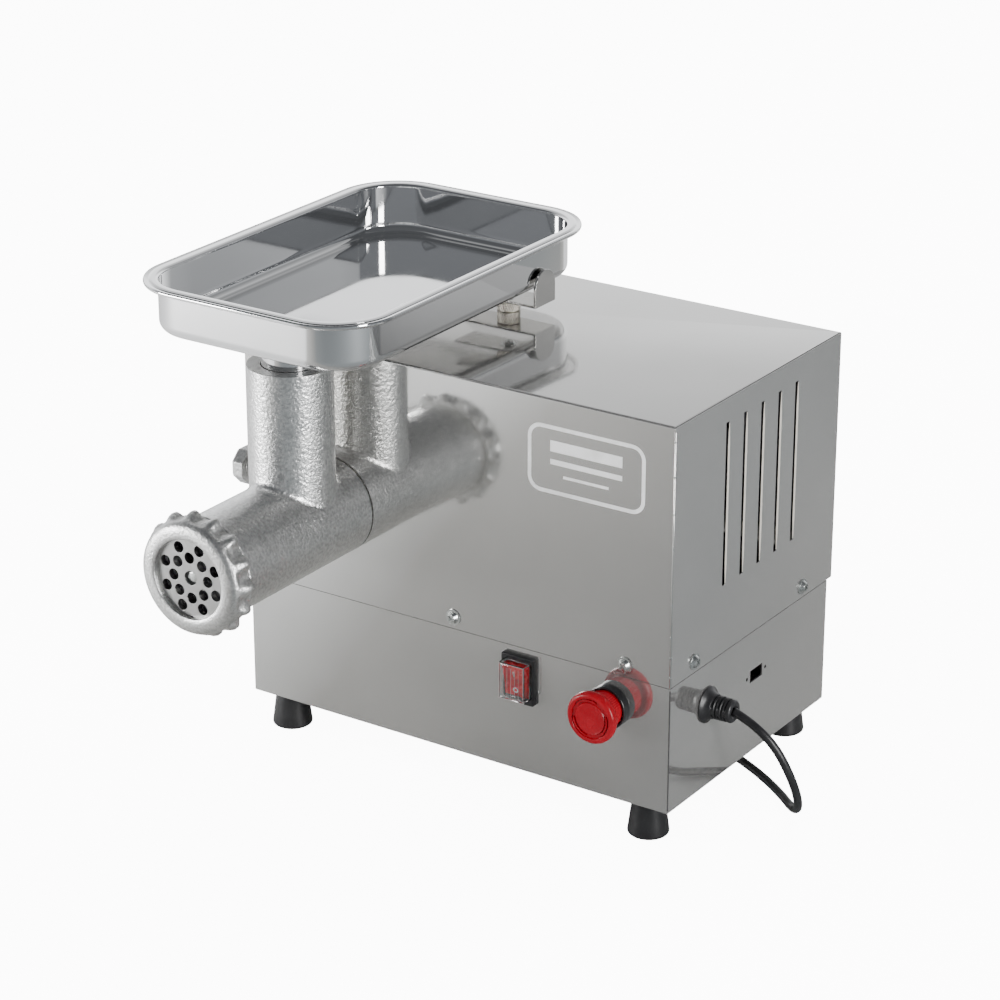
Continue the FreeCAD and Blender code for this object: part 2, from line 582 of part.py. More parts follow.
def make_clamp():
    left = CABINET_LEFT
    boss = rod("socket_radius", "socket_back - socket_front", on_axis("panel_y + socket_front"))
    flange = rod("socket_flange", "socket_flange_depth",
                 on_axis("panel_y + socket_back - socket_flange_depth"))
    bore = rod("shank_radius + 0.06", "socket_bottom - socket_front + 1",
               on_axis("panel_y + socket_front - 1"))
    cavity = rod("socket_cavity", "20", on_axis("panel_y + socket_bottom - 1"))
    thread = rod("clamp_radius + 0.06", "60", ("head_x - socket_radius - 12", "panel_y + clamp_y",
                                               "head_z"), "x")
    holes = [rod("3.2", "12", (x, "panel_y + socket_back - 10", z)) for x, z in BOLT_PLACES]
    node("head_socket", cut(fuse(boss, flange), bore, cavity, thread, *holes))
    bolts = []
    for x, z in BOLT_PLACES:
        at = vector(size(x), size("panel_y + socket_back - socket_flange_depth"), size(z))
        head = Part.makeCylinder(5, 5, at - vector(0, 5, 0), vector(0, 1, 0))
        shank = Part.makeCylinder(3, 14, at - vector(0, 0.1, 0), vector(0, 1, 0))
        bolts.append(head.fuse(shank).removeSplitter())
    group("socket_bolts", bolts)
    tip = "head_x - shank_radius - 0.3"
    node("clamp_screw", rod("clamp_radius", "(%s) - (%s - knob_out + 6)" % (tip, left),
                            (left + " - knob_out + 6", "panel_y + clamp_y", "head_z"), "x"))

    body = doc.addObject("PartDesign::Body", "Knob")
    sketch = sketch_on(body, "YZ_Plane")
    outline(sketch, [("knob_radius * %.6f" % math.cos(math.radians(22.5 + 45 * number)),
                      "knob_radius * %.6f" % math.sin(math.radians(22.5 + 45 * number)))
                     for number in range(8)])
    plain = pad(body, sketch, "knob_depth")
    doc.recompute()
    rim = ["Edge%d" % number for number, edge in enumerate(plain.Shape.Edges, start=1)
           if edge.CenterOfMass.x < 0.01]
    chamfer = body.newObject("PartDesign::Chamfer", "Chamfer")
    chamfer.Base = (plain, rim)
    chamfer.setExpression("Size", "Dims.knob_chamfer")
    body.Tip = chamfer
    doc.recompute()
    hub_sketch = sketch_on(body, "YZ_Plane")
    ring(hub_sketch, "0", "0", "knob_hub")
    pad(body, hub_sketch, "knob_depth + knob_hub_depth")
    doc.recompute()
    hole = sketch_on(body, "YZ_Plane")
    ring(hole, "0", "0", "clamp_radius")
    drilled = body.newObject("PartDesign::Pocket", "Threaded")
    drilled.Profile = hole
    drilled.Reversed = True
    drilled.setExpression("Length", formula("knob_depth + knob_hub_depth + 1"))
    body.Tip = drilled
    put(body, (left + " - knob_out", "panel_y + clamp_y", "head_z"))
    doc.recompute()
    shell = cut(body, rod("clamp_radius", "40", (left + " - knob_out + 6", "panel_y + clamp_y",
                                                 "head_z"), "x"))
    node("clamp_knob", shell)


# --- gearbox and motor -------------------------------------------------------

def gear_shape(teeth, module, width, bore, tooth_turn):
    """A spur gear on Y with involute flanks, one tooth's middle at tooth_turn degrees."""
    pitch = teeth * module / 2
    root, tip = pitch - 1.15 * module, pitch + 0.85 * module
    base = pitch * math.cos(math.radians(20))
    spread = lambda angle: math.tan(angle) - angle
    backlash = 0.28
    half = (math.pi * module / 2 - backlash) / 2 / pitch + spread(math.radians(20))
    points = []
    for tooth in range(teeth):
        middle = math.radians(tooth_turn) + 2 * math.pi * tooth / teeth
        flank = []
        for step in range(4):
            radius = max(base, root) + (tip - max(base, root)) * step / 3
            angle = half - spread(math.acos(min(1, base / radius)))
            flank.append((radius, angle))
        flank.insert(0, (root, flank[0][1] + 0.004))
        points += [(radius, middle - angle) for radius, angle in flank]
        points += [(radius, middle + angle) for radius, angle in reversed(flank)]
    corners = [vector(radius * math.cos(turn), 0, radius * math.sin(turn))
               for radius, turn in points]
    gear = Part.Face(Part.makePolygon(corners + corners[:1])).extrude(vector(0, width, 0))
    return gear.cut(Part.makeCylinder(bore, width + 2, vector(0, -1, 0), vector(0, 1, 0)))


def make_gears():
    small, large = DIMENSIONS["teeth_small"], DIMENSIONS["teeth_large"]
    slow = math.degrees(math.atan2(size("lay_z - head_z"), size("lay_x - head_x")))
    fast = math.degrees(math.atan2(size("motor_z - lay_z"), size("motor_x - lay_x")))
    slow_gap = math.hypot(size("lay_x - head_x"), size("lay_z - head_z"))
    fast_gap = math.hypot(size("motor_x - lay_x"), size("motor_z - lay_z"))
    print("gear centres: slow %.2f, fast %.2f" % (slow_gap, fast_gap))
    # a tooth of one gear faces a gap of the other across the line of centres
    gears = [
        ("drive_gear", large, "module_slow", 20, 12.5, slow, ("head_x", "72", "head_z")),
        ("lay_pinion", small, "module_slow", 24, 8, slow + 180 + 180 / small,
         ("lay_x", "70", "lay_z")),
        ("lay_gear", large, "module_fast", 11, 8, fast, ("lay_x", "98", "lay_z")),
        ("motor_pinion", small, "module_fast", 14, 8, fast + 180 + 180 / small,
         ("motor_x", "97", "motor_z"))]
    for name, teeth, module, width, bore, turn, (x, y, z) in gears:
        part = feature(name, gear_shape(teeth, size(module), width, bore, turn))
        put(part, (x, "panel_y + " + y, z))


def make_gearbox():
    low = ("head_x - 63", "panel_y + socket_back", "lay_z - 56")
    high = ("motor_x + 24", "panel_y + case_back", "head_z + 63")
    wall = "case_wall"
    outside = block(low, high)
    inside = block(tuple("%s + %s" % (text, wall) for text in low),
                   ("%s - %s" % (high[0], wall), high[1] + " + 1", "%s - %s" % (high[2], wall)))
    holes = [rod("23", "10", on_axis("panel_y + socket_back - 2")),
             rod("13", "10", ("lay_x", "panel_y + socket_back + 1.2", "lay_z"))]
    holes += [rod("3.1", "20", (x, "panel_y + socket_back - 2", z)) for x, z in BOLT_PLACES]
    node("gearbox_case", cut(cut(outside, inside), *holes))
    lid = block((low[0], high[1], low[2]), (high[0], high[1] + " + cover_plate", high[2]))
    seats = [rod("21", "20", on_axis("panel_y + case_back - 1")),
             rod("13", "20", ("lay_x", "panel_y + case_back - 1", "lay_z")),
             rod("17", "20", ("motor_x", "panel_y + case_back - 1", "motor_z"))]
    node("gearbox_lid", cut(lid, *seats))

    back, front = "panel_y + case_back", "panel_y + socket_back"
    rear = "panel_y + case_back + cover_plate + motor_length"
    lay, motor = ("lay_x", "lay_z"), ("motor_x", "motor_z")
    bearings = {"drive_bearings": [("15", "23", "head_x", front, "head_z", 8),
                                   ("shaft_radius", "21", "head_x", back, "head_z", 6)],
                "lay_bearings": [("lay_radius", "13", lay[0], front + " + 1.2", lay[1], 6),
                                 ("lay_radius", "13", lay[0], back, lay[1], 6)],
                "motor_bearings": [("spindle_radius", "17", motor[0], back, motor[1], 6),
                                   ("spindle_radius", "17", motor[0], rear, motor[1], 6)]}
    for name, pair in bearings.items():
        races = []
        for inner, outer, x, y, z, width in pair:
            start = vector(size(x), size(y), size(z))
            race = Part.makeCylinder(size(outer) - 0.04, width, start, vector(0, 1, 0))
            races.append(race.cut(Part.makeCylinder(size(inner) + 0.04, width + 2,
                                                    start - vector(0, 1, 0), vector(0, 1, 0))))
        group(name, races)

    hub = rod("15", "socket_back + 10 - 48.6", on_axis("panel_y + 48.6"))
    shaft = rod("shaft_radius", "case_back + cover_plate - socket_back - 9",
                on_axis("panel_y + socket_back + 9"))
    square = block(("head_x - tang_side / 2 - 0.08", "panel_y + 47", "head_z - tang_side / 2 - 0.08"),
                   ("head_x + tang_side / 2 + 0.08", "panel_y + tang_reach + 1.2",
                    "head_z + tang_side / 2 + 0.08"))
    node("drive_shaft", cut(fuse(hub, shaft), square))
    node("lay_shaft", rod("lay_radius", "case_back + cover_plate - socket_back - 1.2",
                          ("lay_x", "panel_y + socket_back + 1.2", "lay_z")))


def make_motor():
    at = lambda y: ("motor_x", y, "motor_z")
    front = "panel_y + case_back + cover_plate"
    frame = cut(rod("motor_radius", "motor_length", at(front)),
                rod("motor_radius - motor_wall", "motor_length + 2", at(front + " - 1")))
    node("motor_frame", frame)
    node("motor_stator", cut(rod("motor_radius - motor_wall - 0.05", "motor_length - 20",
                                 at(front + " + 10")),
                             rod("rotor_radius + 0.8", "motor_length", at(front))))
    core = rod("rotor_radius", "motor_length - 24", at(front + " + 12"))
    spindle = rod("spindle_radius", "cover_plate + motor_length + 43", at("panel_y + case_back - 24"))
    node("motor_rotor", fuse(core, spindle))
    rear = front + " + motor_length"
    node("motor_end_shield", cut(rod("motor_radius", "end_shield", at(rear)),
                                 rod("17.04", "end_shield + 2", at(rear + " - 1"))))
    hub = Part.makeCylinder(14, 9, ORIGIN, vector(0, 1, 0))
    blades = []
    for number in range(9):
        blade = Part.makeBox(36, 9, 2, vector(12, 0, -1))
        blade.rotate(ORIGIN, vector(0, 1, 0), 40 * number)
        blades.append(blade)
    fan = hub.multiFuse(blades).cut(Part.makeCylinder(size("spindle_radius"), 12,
                                                      vector(0, -1, 0), vector(0, 1, 0)))
    part = feature("cooling_fan", fan.removeSplitter())
    put(part, at(rear + " + 8"))
    cowl = cut(rod("motor_radius - 6", "cowl_depth", at(rear + " + end_shield")),
               rod("motor_radius - 6 - cowl_wall", "cowl_depth - cowl_wall",
                   at(rear + " + end_shield - 1")),
               *[block(("motor_x - 40", rear + " + 20", "motor_z + %d" % offset),
                       ("motor_x + 40", rear + " + 30", "motor_z + %d" % (offset + 4)))
                 for offset in range(-34, 35, 11)])
    node("fan_cowl", cowl)

    plate = block(("head_x - 50", "panel_y + 62", "base_z + gauge"),
                  ("motor_x + 60", "panel_y + 200", "base_z + gauge + 4"))
    top = "base_z + gauge + 3"
    upright = block(("head_x - 50", "panel_y + 80", top),
                    ("motor_x + 20", "panel_y + 86", "lay_z - 56"))
    saddle = block(("motor_x - 55", "panel_y + 150", top),
                   ("motor_x + 55", "panel_y + 156", "motor_z - 20"))
    cradle = cut(saddle, rod("motor_radius", "20", at("panel_y + 140")))
    node("drive_frame", fuse(plate, upright, cradle))


def make_electrics():
    floor = "base_z + gauge"
    middle = "cabinet_right - capacitor_inset"
    can = lambda y: (middle, "panel_y + " + y, floor + " + capacitor_rise")
    node("run_capacitor", rod("capacitor_radius", "capacitor_length", can("capacitor_y")))
    band = cut(rod("capacitor_radius + clip_gauge", "clip_width", can("clip_y")),
               rod("capacitor_radius + 0.02", "clip_width + 2", can("clip_y - 1")))
    outward = middle + " - capacitor_radius"
    foot = block((outward + " - 9", "panel_y + clip_y", floor),
                 (outward + " + 11", "panel_y + clip_y + clip_width", floor + " + clip_gauge"))
    riser = block((outward + " - 2", "panel_y + clip_y", floor),
                  (outward + " - 0.4", "panel_y + clip_y + clip_width", floor + " + capacitor_rise"))
    node("capacitor_clip", fuse(band, foot, riser))
    left, front = "cabinet_right - terminal_inset", "panel_y + terminal_y"
    base = block((left, front, floor),
                 (left + " + terminal_length", front + " + terminal_width",
                  floor + " + terminal_height"))
    ridges = []
    for number in range(5):
        start = "%s + %d * ridge_pitch" % (left, number)
        ridges.append(block((start, front, floor + " + terminal_height - 1"),
                            (start + " + 2", front + " + terminal_width",
                             floor + " + terminal_height + 5")))
    node("terminal_block", fuse(base, *ridges))


# --- feed pan ----------------------------------------------------------------

def round_rectangle(left, right, front, back, corner, z):
    """A closed wire: four straight sides joined by quarter circles."""
    places = [(right - corner, front + corner, -90), (right - corner, back - corner, 0),
              (left + corner, back - corner, 90), (left + corner, front + corner, 180)]
    arcs = [[vector(x + corner * math.cos(math.radians(start + step)),
                    y + corner * math.sin(math.radians(start + step)), z) for step in (0, 45, 90)]
            for x, y, start in places]
    edges = []
    for arc, following in zip(arcs, arcs[1:] + arcs[:1]):
        edges.append(Part.Arc(*arc).toShape())
        edges.append(Part.LineSegment(arc[2], following[0]).toShape())
    return Part.Wire(edges)


def pan_outline(inset, z):
    return round_rectangle(size("rim_left") + inset, size("rim_right") - inset,
                           size("rim_front") + inset, size("rim_back") - inset,
                           size("rim_corner") - inset, z)


def make_pan():
    inset, gauge = size("wall_inset"), size("pan_gauge")
    low, high = size("pan_bottom"), size("rim_z")
    deepest = lambda solid, z: [edge for edge in solid.Edges if abs(edge.CenterOfMass.z - z) < 0.01]
    rim_top = high + 0.8 + gauge
    outer = Part.Face(pan_outline(inset, low)).extrude(vector(0, 0, rim_top - low))
    outer = outer.makeFillet(size("pan_round"), deepest(outer, low))
    inner = Part.Face(pan_outline(inset + gauge, low + gauge)).extrude(vector(0, 0, high - low))
    inner = inner.makeFillet(size("pan_round") - gauge, deepest(inner, low + gauge))
    bead_line = pan_outline(size("bead_radius"), high)
    start = bead_line.Edges[0].valueAt(bead_line.Edges[0].FirstParameter)
    disc = Part.Wire(Part.makeCircle(size("bead_radius"), start, vector(1, 0, 0)))
    bead = bead_line.makePipeShell([disc], True, True)
    flange = Part.Face(pan_outline(size("bead_radius"), rim_top - gauge)).extrude(vector(0, 0, gauge))
    pan = outer.fuse([flange, bead]).cut(inner)
    above = Part.Face(pan_outline(inset + gauge, high - 1)).extrude(vector(0, 0, 6))
    hole = Part.makeCylinder(size("spout_radius"), 10,
                             vector(size("head_x"), size("panel_y - neck_y"), low - 5))
    pan = pan.cut([above, hole]).removeSplitter()
    feature("feed_pan", pan)
    at = ("head_x", "panel_y - neck_y")
    tube_outside = rod("spout_radius", "pan_bottom + pan_gauge - spout_low", (*at, "spout_low"), "z")
    tube_inside = rod("spout_radius - spout_wall", "80", (*at, "spout_low - 5"), "z")
    node("pan_spout", cut(tube_outside, tube_inside))


def make_stay():
    """The strip under the pan: a plate on a post, with a round-topped lip at its end."""
    body = doc.addObject("PartDesign::Body", "Stay")
    sketch = sketch_on(body, "XZ_Plane")
    outline(sketch, [("stay_left", "stay_z"), ("stay_right", "stay_z"), ("stay_right", "lip_top"),
                     ("stay_right - stay_gauge", "lip_top"),
                     ("stay_right - stay_gauge", "stay_z + stay_gauge"),
                     ("stay_left", "stay_z + stay_gauge")])
    pad(body, sketch, "stay_width", True)
    put(body, ("0", "stay_y", "0"))
    half = "stay_width / 2"
    round_top = rod(half, "20", ("stay_right - 10", "stay_y", "lip_top - " + half), "x")
    upper = block(("stay_right - 10", "stay_y - " + half + " - 1", "lip_top - " + half),
                  ("stay_right + 10", "stay_y + " + half + " + 1", "lip_top + 1"))
    hole = rod("stay_hole", "10", ("stay_x", "stay_y", "stay_z - 3"), "z")
    node("pan_stay", cut(body, cut(upper, round_top), hole))
    post = rod("stay_post", "stay_z - cabinet_top", ("stay_x", "stay_y", "cabinet_top"), "z")
    bore = rod("stay_hole", "30", ("stay_x", "stay_y", "cabinet_top - 5"), "z")
    node("stay_post", cut(post, bore))
    at = vector(size("stay_x"), size("stay_y"), size("stay_z + stay_gauge"))
    head = pan_screw(tuple(at), (0, 0, 1), 2.6, 22)
    nut = Part.makeCylinder(5, 4, vector(at.x, at.y, size("cabinet_top - gauge") - 4))
    group("stay_screw", [head.fuse(nut).removeSplitter()])


# --- lead --------------------------------------------------------------------

LEAD_POINTS = [
    (224.7, 19.3, 94.5), (240, 19.4, 89.7), (257.5, 22, 74.5), (266.5, 28, 53), (269, 37, 32),
    (264, 49, 14), (252, 63, 4.4), (234, 79, 3.6), (213, 94, 3.6), (189, 108, 3.6),
    (162, 121, 3.6), (133, 134, 3.6), (105, 150, 3.6), (81, 171, 3.6), (63, 197, 3.6),
    (53, 228, 3.6), (48.8, 258, 3.6), (48.4, 288, 3.6)]
TAIL_POINTS = [(48.4, 300, 10.2), (48.4, 316, 10.8), (47.8, 333, 12.6), (47.4, 349, 13.2)]


def tube(points, radius):
    """A round tube along straight runs joined by arcs as large as the runs allow."""
    corners = [vector(*point) for point in points]
    edges = []
    start = corners[0]
    radii = []
    for before, corner, after in zip(corners, corners[1:], corners[2:]):
        back, ahead = before - corner, after - corner
        turn = math.pi - back.getAngle(ahead)
        reach = 0.45 * min(back.Length, ahead.Length)
        radii.append(reach / math.tan(turn / 2))
        first = corner + back.normalize() * reach
        last = corner + ahead.normalize() * reach
        towards = (first + last) * 0.5 - corner
        depth = radii[-1] * (1 / math.cos(turn / 2) - 1)
        middle = corner + towards.normalize() * depth
        edges.append(Part.LineSegment(start, first).toShape())
        edges.append(Part.Arc(first, middle, last).toShape())
        start = last
    edges.append(Part.LineSegment(start, corners[-1]).toShape())
    spine = Part.Wire(edges)
    mouth = Part.Wire(Part.makeCircle(radius, corners[0], corners[1] - corners[0]))
    solid = spine.makePipeShell([mouth], True, True)
    print("lead: length %.1f, radii %s" % (spine.Length, [round(value) for value in radii]))
    print("lead: volume %.0f, section times length %.0f"
          % (solid.Volume, math.pi * radius ** 2 * spine.Length))
    return solid


def make_lead():
    side = lambda reach: ("cabinet_right + %s" % reach, "gland_y", "gland_z")
    flange = rounded(rod("gland_flange", "4.6", side("0"), "x"), "3",
                     lambda edge: edge.CenterOfMass.x > size("cabinet_right") + 4 and edge.Length > 60)
    barrel = rod("gland_thread", "14", side("-12"), "x")
    relief = [cone("gland_body + 0.5", "gland_body - 0.7", "relief_step",
                   side("4.4 + %d * relief_step" % number), "x") for number in range(5)]
    tip = cone("gland_body - 0.4", "gland_body - 2.4", "gland_reach - 20.4", side("20.4"), "x")
    hollow = rod("lead_radius", "30", side("-14"), "x")
    node("cable_gland", cut(fuse(flange, barrel, *relief, tip), hollow))
    node("gland_nut", cut(rod("gland_nut", "nut_depth", side("-gauge - nut_depth"), "x"),
                          rod("gland_thread + 0.05", "12", side("-12"), "x")))
    radius = size("lead_radius")
    feature("mains_lead", tube(LEAD_POINTS, radius))
    feature("lead_tail", tube(TAIL_POINTS, radius))
    node("lead_coil", cut(rod("coil_outer", "coil_height", ("coil_x", "coil_y", "coil_bottom"), "z"),
                          rod("coil_inner", "coil_height + 4", ("coil_x", "coil_y", "-1"), "z")))
    end = TAIL_POINTS[-1]
    x, y, z = (str(value) for value in end)
    collar = cone("4.4", "8", "plug_neck", (x, y, z))
    body = rounded(rod("plug_radius", "plug_body", (x, y + " + plug_neck", z)), "2.5",
                   lambda edge: edge.Length > 60)
    node("mains_plug", fuse(collar, body))
    face = end[1] + size("plug_neck + plug_body")
    pins = [Part.makeCylinder(size("pin_radius_small"), size("pin_length"),
                              vector(end[0] + size("pin_gap") * side_of, face, end[2] + lift),
                              vector(0, 1, 0))
            for side_of, lift in ((-1, 0), (0, size("earth_lift")), (1, 0))]
    group("plug_pins", pins)


for make in (make_base, make_cover, make_cover_screws, make_feet, make_rocker, make_stop_button,
             make_head, make_ring_nut, make_plate, make_knife, make_feed_screw, make_clamp,
             make_gears, make_gearbox, make_motor, make_electrics, make_pan, make_stay, make_lead):
    make()
doc.recompute()

faults = [item.Name + " " + item.Label for item in doc.Objects
          if "Invalid" in item.State or "Error" in item.State]
faults += [part.Label for part in nodes if part.Shape.isNull() or not part.Shape.isValid()]
if faults:
    raise RuntimeError("failed: " + ", ".join(faults))

os.makedirs("parts", exist_ok=True)
for part in nodes:
    part.Shape.exportStep("parts/%s.step" % part.Label)
whole = FreeCAD.BoundBox()
for part in nodes:
    if not part.Label.startswith(("mains_", "lead_", "plug_", "cable_")):
        whole.add(part.Shape.BoundBox)
print("nodes: %d" % len(nodes))
print("box without the lead: X %.2f %.2f, Y %.2f %.2f, Z %.2f %.2f"
      % (whole.XMin, whole.XMax, whole.YMin, whole.YMax, whole.ZMin, whole.ZMax))
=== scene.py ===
import json
import math

import bmesh
import bpy
import numpy as np
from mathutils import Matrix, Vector

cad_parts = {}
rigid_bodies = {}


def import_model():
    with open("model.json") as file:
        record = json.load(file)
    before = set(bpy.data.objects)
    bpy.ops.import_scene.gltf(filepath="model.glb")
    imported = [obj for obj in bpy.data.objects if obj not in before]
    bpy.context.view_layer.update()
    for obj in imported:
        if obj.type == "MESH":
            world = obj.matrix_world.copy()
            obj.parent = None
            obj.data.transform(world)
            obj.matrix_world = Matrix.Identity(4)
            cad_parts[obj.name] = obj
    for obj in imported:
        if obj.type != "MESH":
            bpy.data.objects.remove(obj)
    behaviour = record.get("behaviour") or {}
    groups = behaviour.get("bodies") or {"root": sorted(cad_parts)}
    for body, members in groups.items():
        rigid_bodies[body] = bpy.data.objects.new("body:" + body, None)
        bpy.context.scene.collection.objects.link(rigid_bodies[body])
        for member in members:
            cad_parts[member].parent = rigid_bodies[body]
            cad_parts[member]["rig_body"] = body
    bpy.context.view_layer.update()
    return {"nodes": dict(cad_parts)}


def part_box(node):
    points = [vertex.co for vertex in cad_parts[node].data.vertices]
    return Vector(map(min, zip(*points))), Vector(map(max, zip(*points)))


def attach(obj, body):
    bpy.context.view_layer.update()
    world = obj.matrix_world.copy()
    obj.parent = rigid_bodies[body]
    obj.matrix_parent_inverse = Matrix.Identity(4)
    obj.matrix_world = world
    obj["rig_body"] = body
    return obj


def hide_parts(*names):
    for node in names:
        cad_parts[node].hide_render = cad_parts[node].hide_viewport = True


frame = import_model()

rightAngle = math.pi / 2

# how meshes are cleaned, in metres and degrees; a ring of the radius pole joins into one point
meshSettings = {"join": 0.000004, "sliver": 0.000002, "pole": 0.000001, "flat": 0.6, "sharp": 35}
pole = meshSettings["pole"]


# camera

cameraSettings = {"place": (1.2394, -1.8010, 1.1113), "turn": 33.81, "tilt": 22.28,
                  "lens": 114.84, "sensor": 36, "farthest": 60}


def addCamera():
    data = bpy.data.cameras.new("camera")
    data.lens = cameraSettings["lens"]
    data.sensor_width = cameraSettings["sensor"]
    data.clip_end = cameraSettings["farthest"]
    camera = bpy.data.objects.new("camera", data)
    camera.location = cameraSettings["place"]
    camera.rotation_euler = (math.radians(90 - cameraSettings["tilt"]), 0,
                             math.radians(cameraSettings["turn"]))
    bpy.context.scene.collection.objects.link(camera)
    bpy.context.scene.camera = camera


# objects and their places

def addObject(name, data):
    piece = bpy.data.objects.new(name, data)
    bpy.context.scene.collection.objects.link(piece)
    return piece


def boxCentre(node):
    low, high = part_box(node)
    return (low + high) / 2


# materials

def startMaterial(name, **sockets):
    material = bpy.data.materials.new(name)
    material.use_nodes = True
    shader = material.node_tree.nodes["Principled BSDF"]
    for socket, value in sockets.items():
        shader.inputs[socket.replace("_", " ")].default_value = value
    return material, material.node_tree, shader


def objectPattern(tree, scale, stretch=(1, 1, 1), detail=3):
    # a noise on object coordinates, drawn out along an axis by a small stretch
    place = tree.nodes.new("ShaderNodeTexCoord")
    mapping = tree.nodes.new("ShaderNodeMapping")
    mapping.inputs["Scale"].default_value = stretch
    texture = tree.nodes.new("ShaderNodeTexNoise")
    texture.inputs["Scale"].default_value = scale
    texture.inputs["Detail"].default_value = detail
    tree.links.new(place.outputs["Object"], mapping.inputs["Vector"])
    tree.links.new(mapping.outputs["Vector"], texture.inputs["Vector"])
    return texture.outputs[0]


def spread(tree, source, low, high, fromLow=0.3, fromHigh=0.7):
    # maps one range of a value onto another
    node = tree.nodes.new("ShaderNodeMapRange")
    node.inputs["From Min"].default_value = fromLow
    node.inputs["From Max"].default_value = fromHigh
    node.inputs["To Min"].default_value = low
    node.inputs["To Max"].default_value = high
    tree.links.new(source, node.inputs["Value"])
    return node.outputs["Result"]


def shades(tree, source, dark, light, low=0.3, high=0.7):
    # blends two colours by a noise
    ramp = tree.nodes.new("ShaderNodeValToRGB")
    ramp.color_ramp.elements[0].position = low
    ramp.color_ramp.elements[0].color = (*dark, 1)
    ramp.color_ramp.elements[1].position = high
    ramp.color_ramp.elements[1].color = (*light, 1)
    tree.links.new(source, ramp.inputs["Fac"])
    return ramp.outputs["Color"]


def roughen(tree, shader, layers):
    # bumps in metres, one on top of another
    normal = None
    for source, height in layers:
        bump = tree.nodes.new("ShaderNodeBump")
        bump.inputs["Distance"].default_value = height
        tree.links.new(source, bump.inputs["Height"])
        if normal:
            tree.links.new(normal, bump.inputs["Normal"])
        normal = bump.outputs["Normal"]
    tree.links.new(normal, shader.inputs["Normal"])


steelSettings = {"dark": (0.56, 0.555, 0.54), "light": (0.62, 0.615, 0.60), "roughness": (0.045, 0.095),
                 "metallic": 0.86}


def brushedSteel(name, stretch, dark, light, roughness, bump=0.0000016, metallic=1.0):
    # long faint strokes along one axis over slow cloudy changes
    material, tree, shader = startMaterial(name, Metallic=metallic)
    strokes = objectPattern(tree, 260, stretch, 4)
    clouds = objectPattern(tree, 7, (1, 1, 1), 2)
    tree.links.new(shades(tree, clouds, dark, light), shader.inputs["Base Color"])
    tree.links.new(spread(tree, strokes, *roughness), shader.inputs["Roughness"])
    roughen(tree, shader, [(strokes, bump)])
    return material


def castMetal(name, dark, light, roughness, grain=0.0007, cell=430):
    # sand-cast skin: fine round grains over a slow unevenness; the colour follows the grain bumps,
    # a little darker in their pits: grain tone with painted shade in the pits
    material, tree, shader = startMaterial(name, Metallic=1.0)
    grains = objectPattern(tree, cell, (1, 1, 1), 1.5)
    lumps = objectPattern(tree, 110, (1, 1, 1), 3)
    tree.links.new(shades(tree, grains, dark, light, 0.36, 0.6), shader.inputs["Base Color"])
    tree.links.new(spread(tree, lumps, *roughness), shader.inputs["Roughness"])
    roughen(tree, shader, [(lumps, grain * 0.3), (grains, grain)])
    return material


def plastic(name, colour, roughness, grain=0.00002, coat=0.0, shine=0.5):
    material, tree, shader = startMaterial(name, Coat_Weight=coat, Specular_IOR_Level=shine)
    fine = objectPattern(tree, 900, (1, 1, 1), 2)
    slow = objectPattern(tree, 60, (1, 1, 1), 2)
    lighter = tuple(min(1, part * 1.25 + 0.004) for part in colour)
    tree.links.new(shades(tree, slow, colour, lighter), shader.inputs["Base Color"])
    tree.links.new(spread(tree, slow, roughness * 0.85, roughness * 1.2), shader.inputs["Roughness"])
    roughen(tree, shader, [(fine, grain)])
    return material


def clearPlastic(name, tint, roughness=0.03):
    material, tree, shader = startMaterial(name, Transmission_Weight=1.0, IOR=1.46,
                                           Roughness=roughness, Base_Color=(*tint, 1))
    roughen(tree, shader, [(objectPattern(tree, 120, (1, 1, 1), 2), 0.00001)])
    return material


def redLens(name):
    # a lit-through red body with a slightly cloudy skin
    material, tree, shader = startMaterial(name, Subsurface_Weight=0.35, Coat_Weight=0.6,
                                           Subsurface_Scale=0.004)
    clouds = objectPattern(tree, 180, (1, 1, 1), 2)
    tree.links.new(shades(tree, clouds, (0.50, 0.012, 0.02), (0.66, 0.03, 0.035)),
                   shader.inputs["Base Color"])
    tree.links.new(spread(tree, clouds, 0.18, 0.3), shader.inputs["Roughness"])
    return material


look = {}


def makeSteels():
    # name, stretch of the strokes, darker and lighter colour, roughness from and to, bump height
    look["sheet"] = brushedSteel("sheetSteel", (1, 1, 0.035), **steelSettings)
    look["pan"] = brushedSteel("panSteel", (0.2, 0.05, 0.2), (0.80, 0.80, 0.80), (0.86, 0.86, 0.86),
                               (0.035, 0.075), 0.0000006)
    look["stay"] = brushedSteel("staySteel", (0.05, 1, 1), (0.62, 0.61, 0.59), (0.7, 0.69, 0.67),
                                (0.12, 0.2))
    # the slots' back edges, lighter and duller than the sheet: a painted highlight
    look["lip"] = brushedSteel("slotLipHighlight", (1, 1, 1), (0.60, 0.57, 0.51), (0.70, 0.67, 0.60),
                               (0.4, 0.5), metallic=0.25)
    # the dark rods on the cover's top folds: painted shade, the dark reflection that the folds show
    look["paintedFoldShade"] = brushedSteel("foldShade", (1, 1, 1), (0.13, 0.13, 0.125), (0.19, 0.19, 0.185),
                                (0.3, 0.4), metallic=0.7)
    look["zinc"] = brushedSteel("zincPlate", (1, 1, 1), (0.55, 0.57, 0.56), (0.72, 0.74, 0.72),
                                (0.18, 0.34), 0.00001)
    look["post"] = brushedSteel("postSteel", (1, 1, 1), (0.40, 0.37, 0.32), (0.58, 0.55, 0.49),
                                (0.3, 0.42), 0.00001)
    look["plate"] = brushedSteel("plateSteel", (1, 0.1, 0.3), (0.36, 0.36, 0.355), (0.47, 0.47, 0.46),
                                 (0.3, 0.42), 0.00001)
    look["machined"] = brushedSteel("machinedSteel", (1, 0.05, 1), (0.42, 0.42, 0.42), (0.55, 0.55, 0.55),
                                    (0.25, 0.4), 0.00001)
    look["brass"] = brushedSteel("pinBrass", (1, 0.05, 1), (0.66, 0.55, 0.30), (0.75, 0.64, 0.38),
                                 (0.2, 0.3), 0.00001)


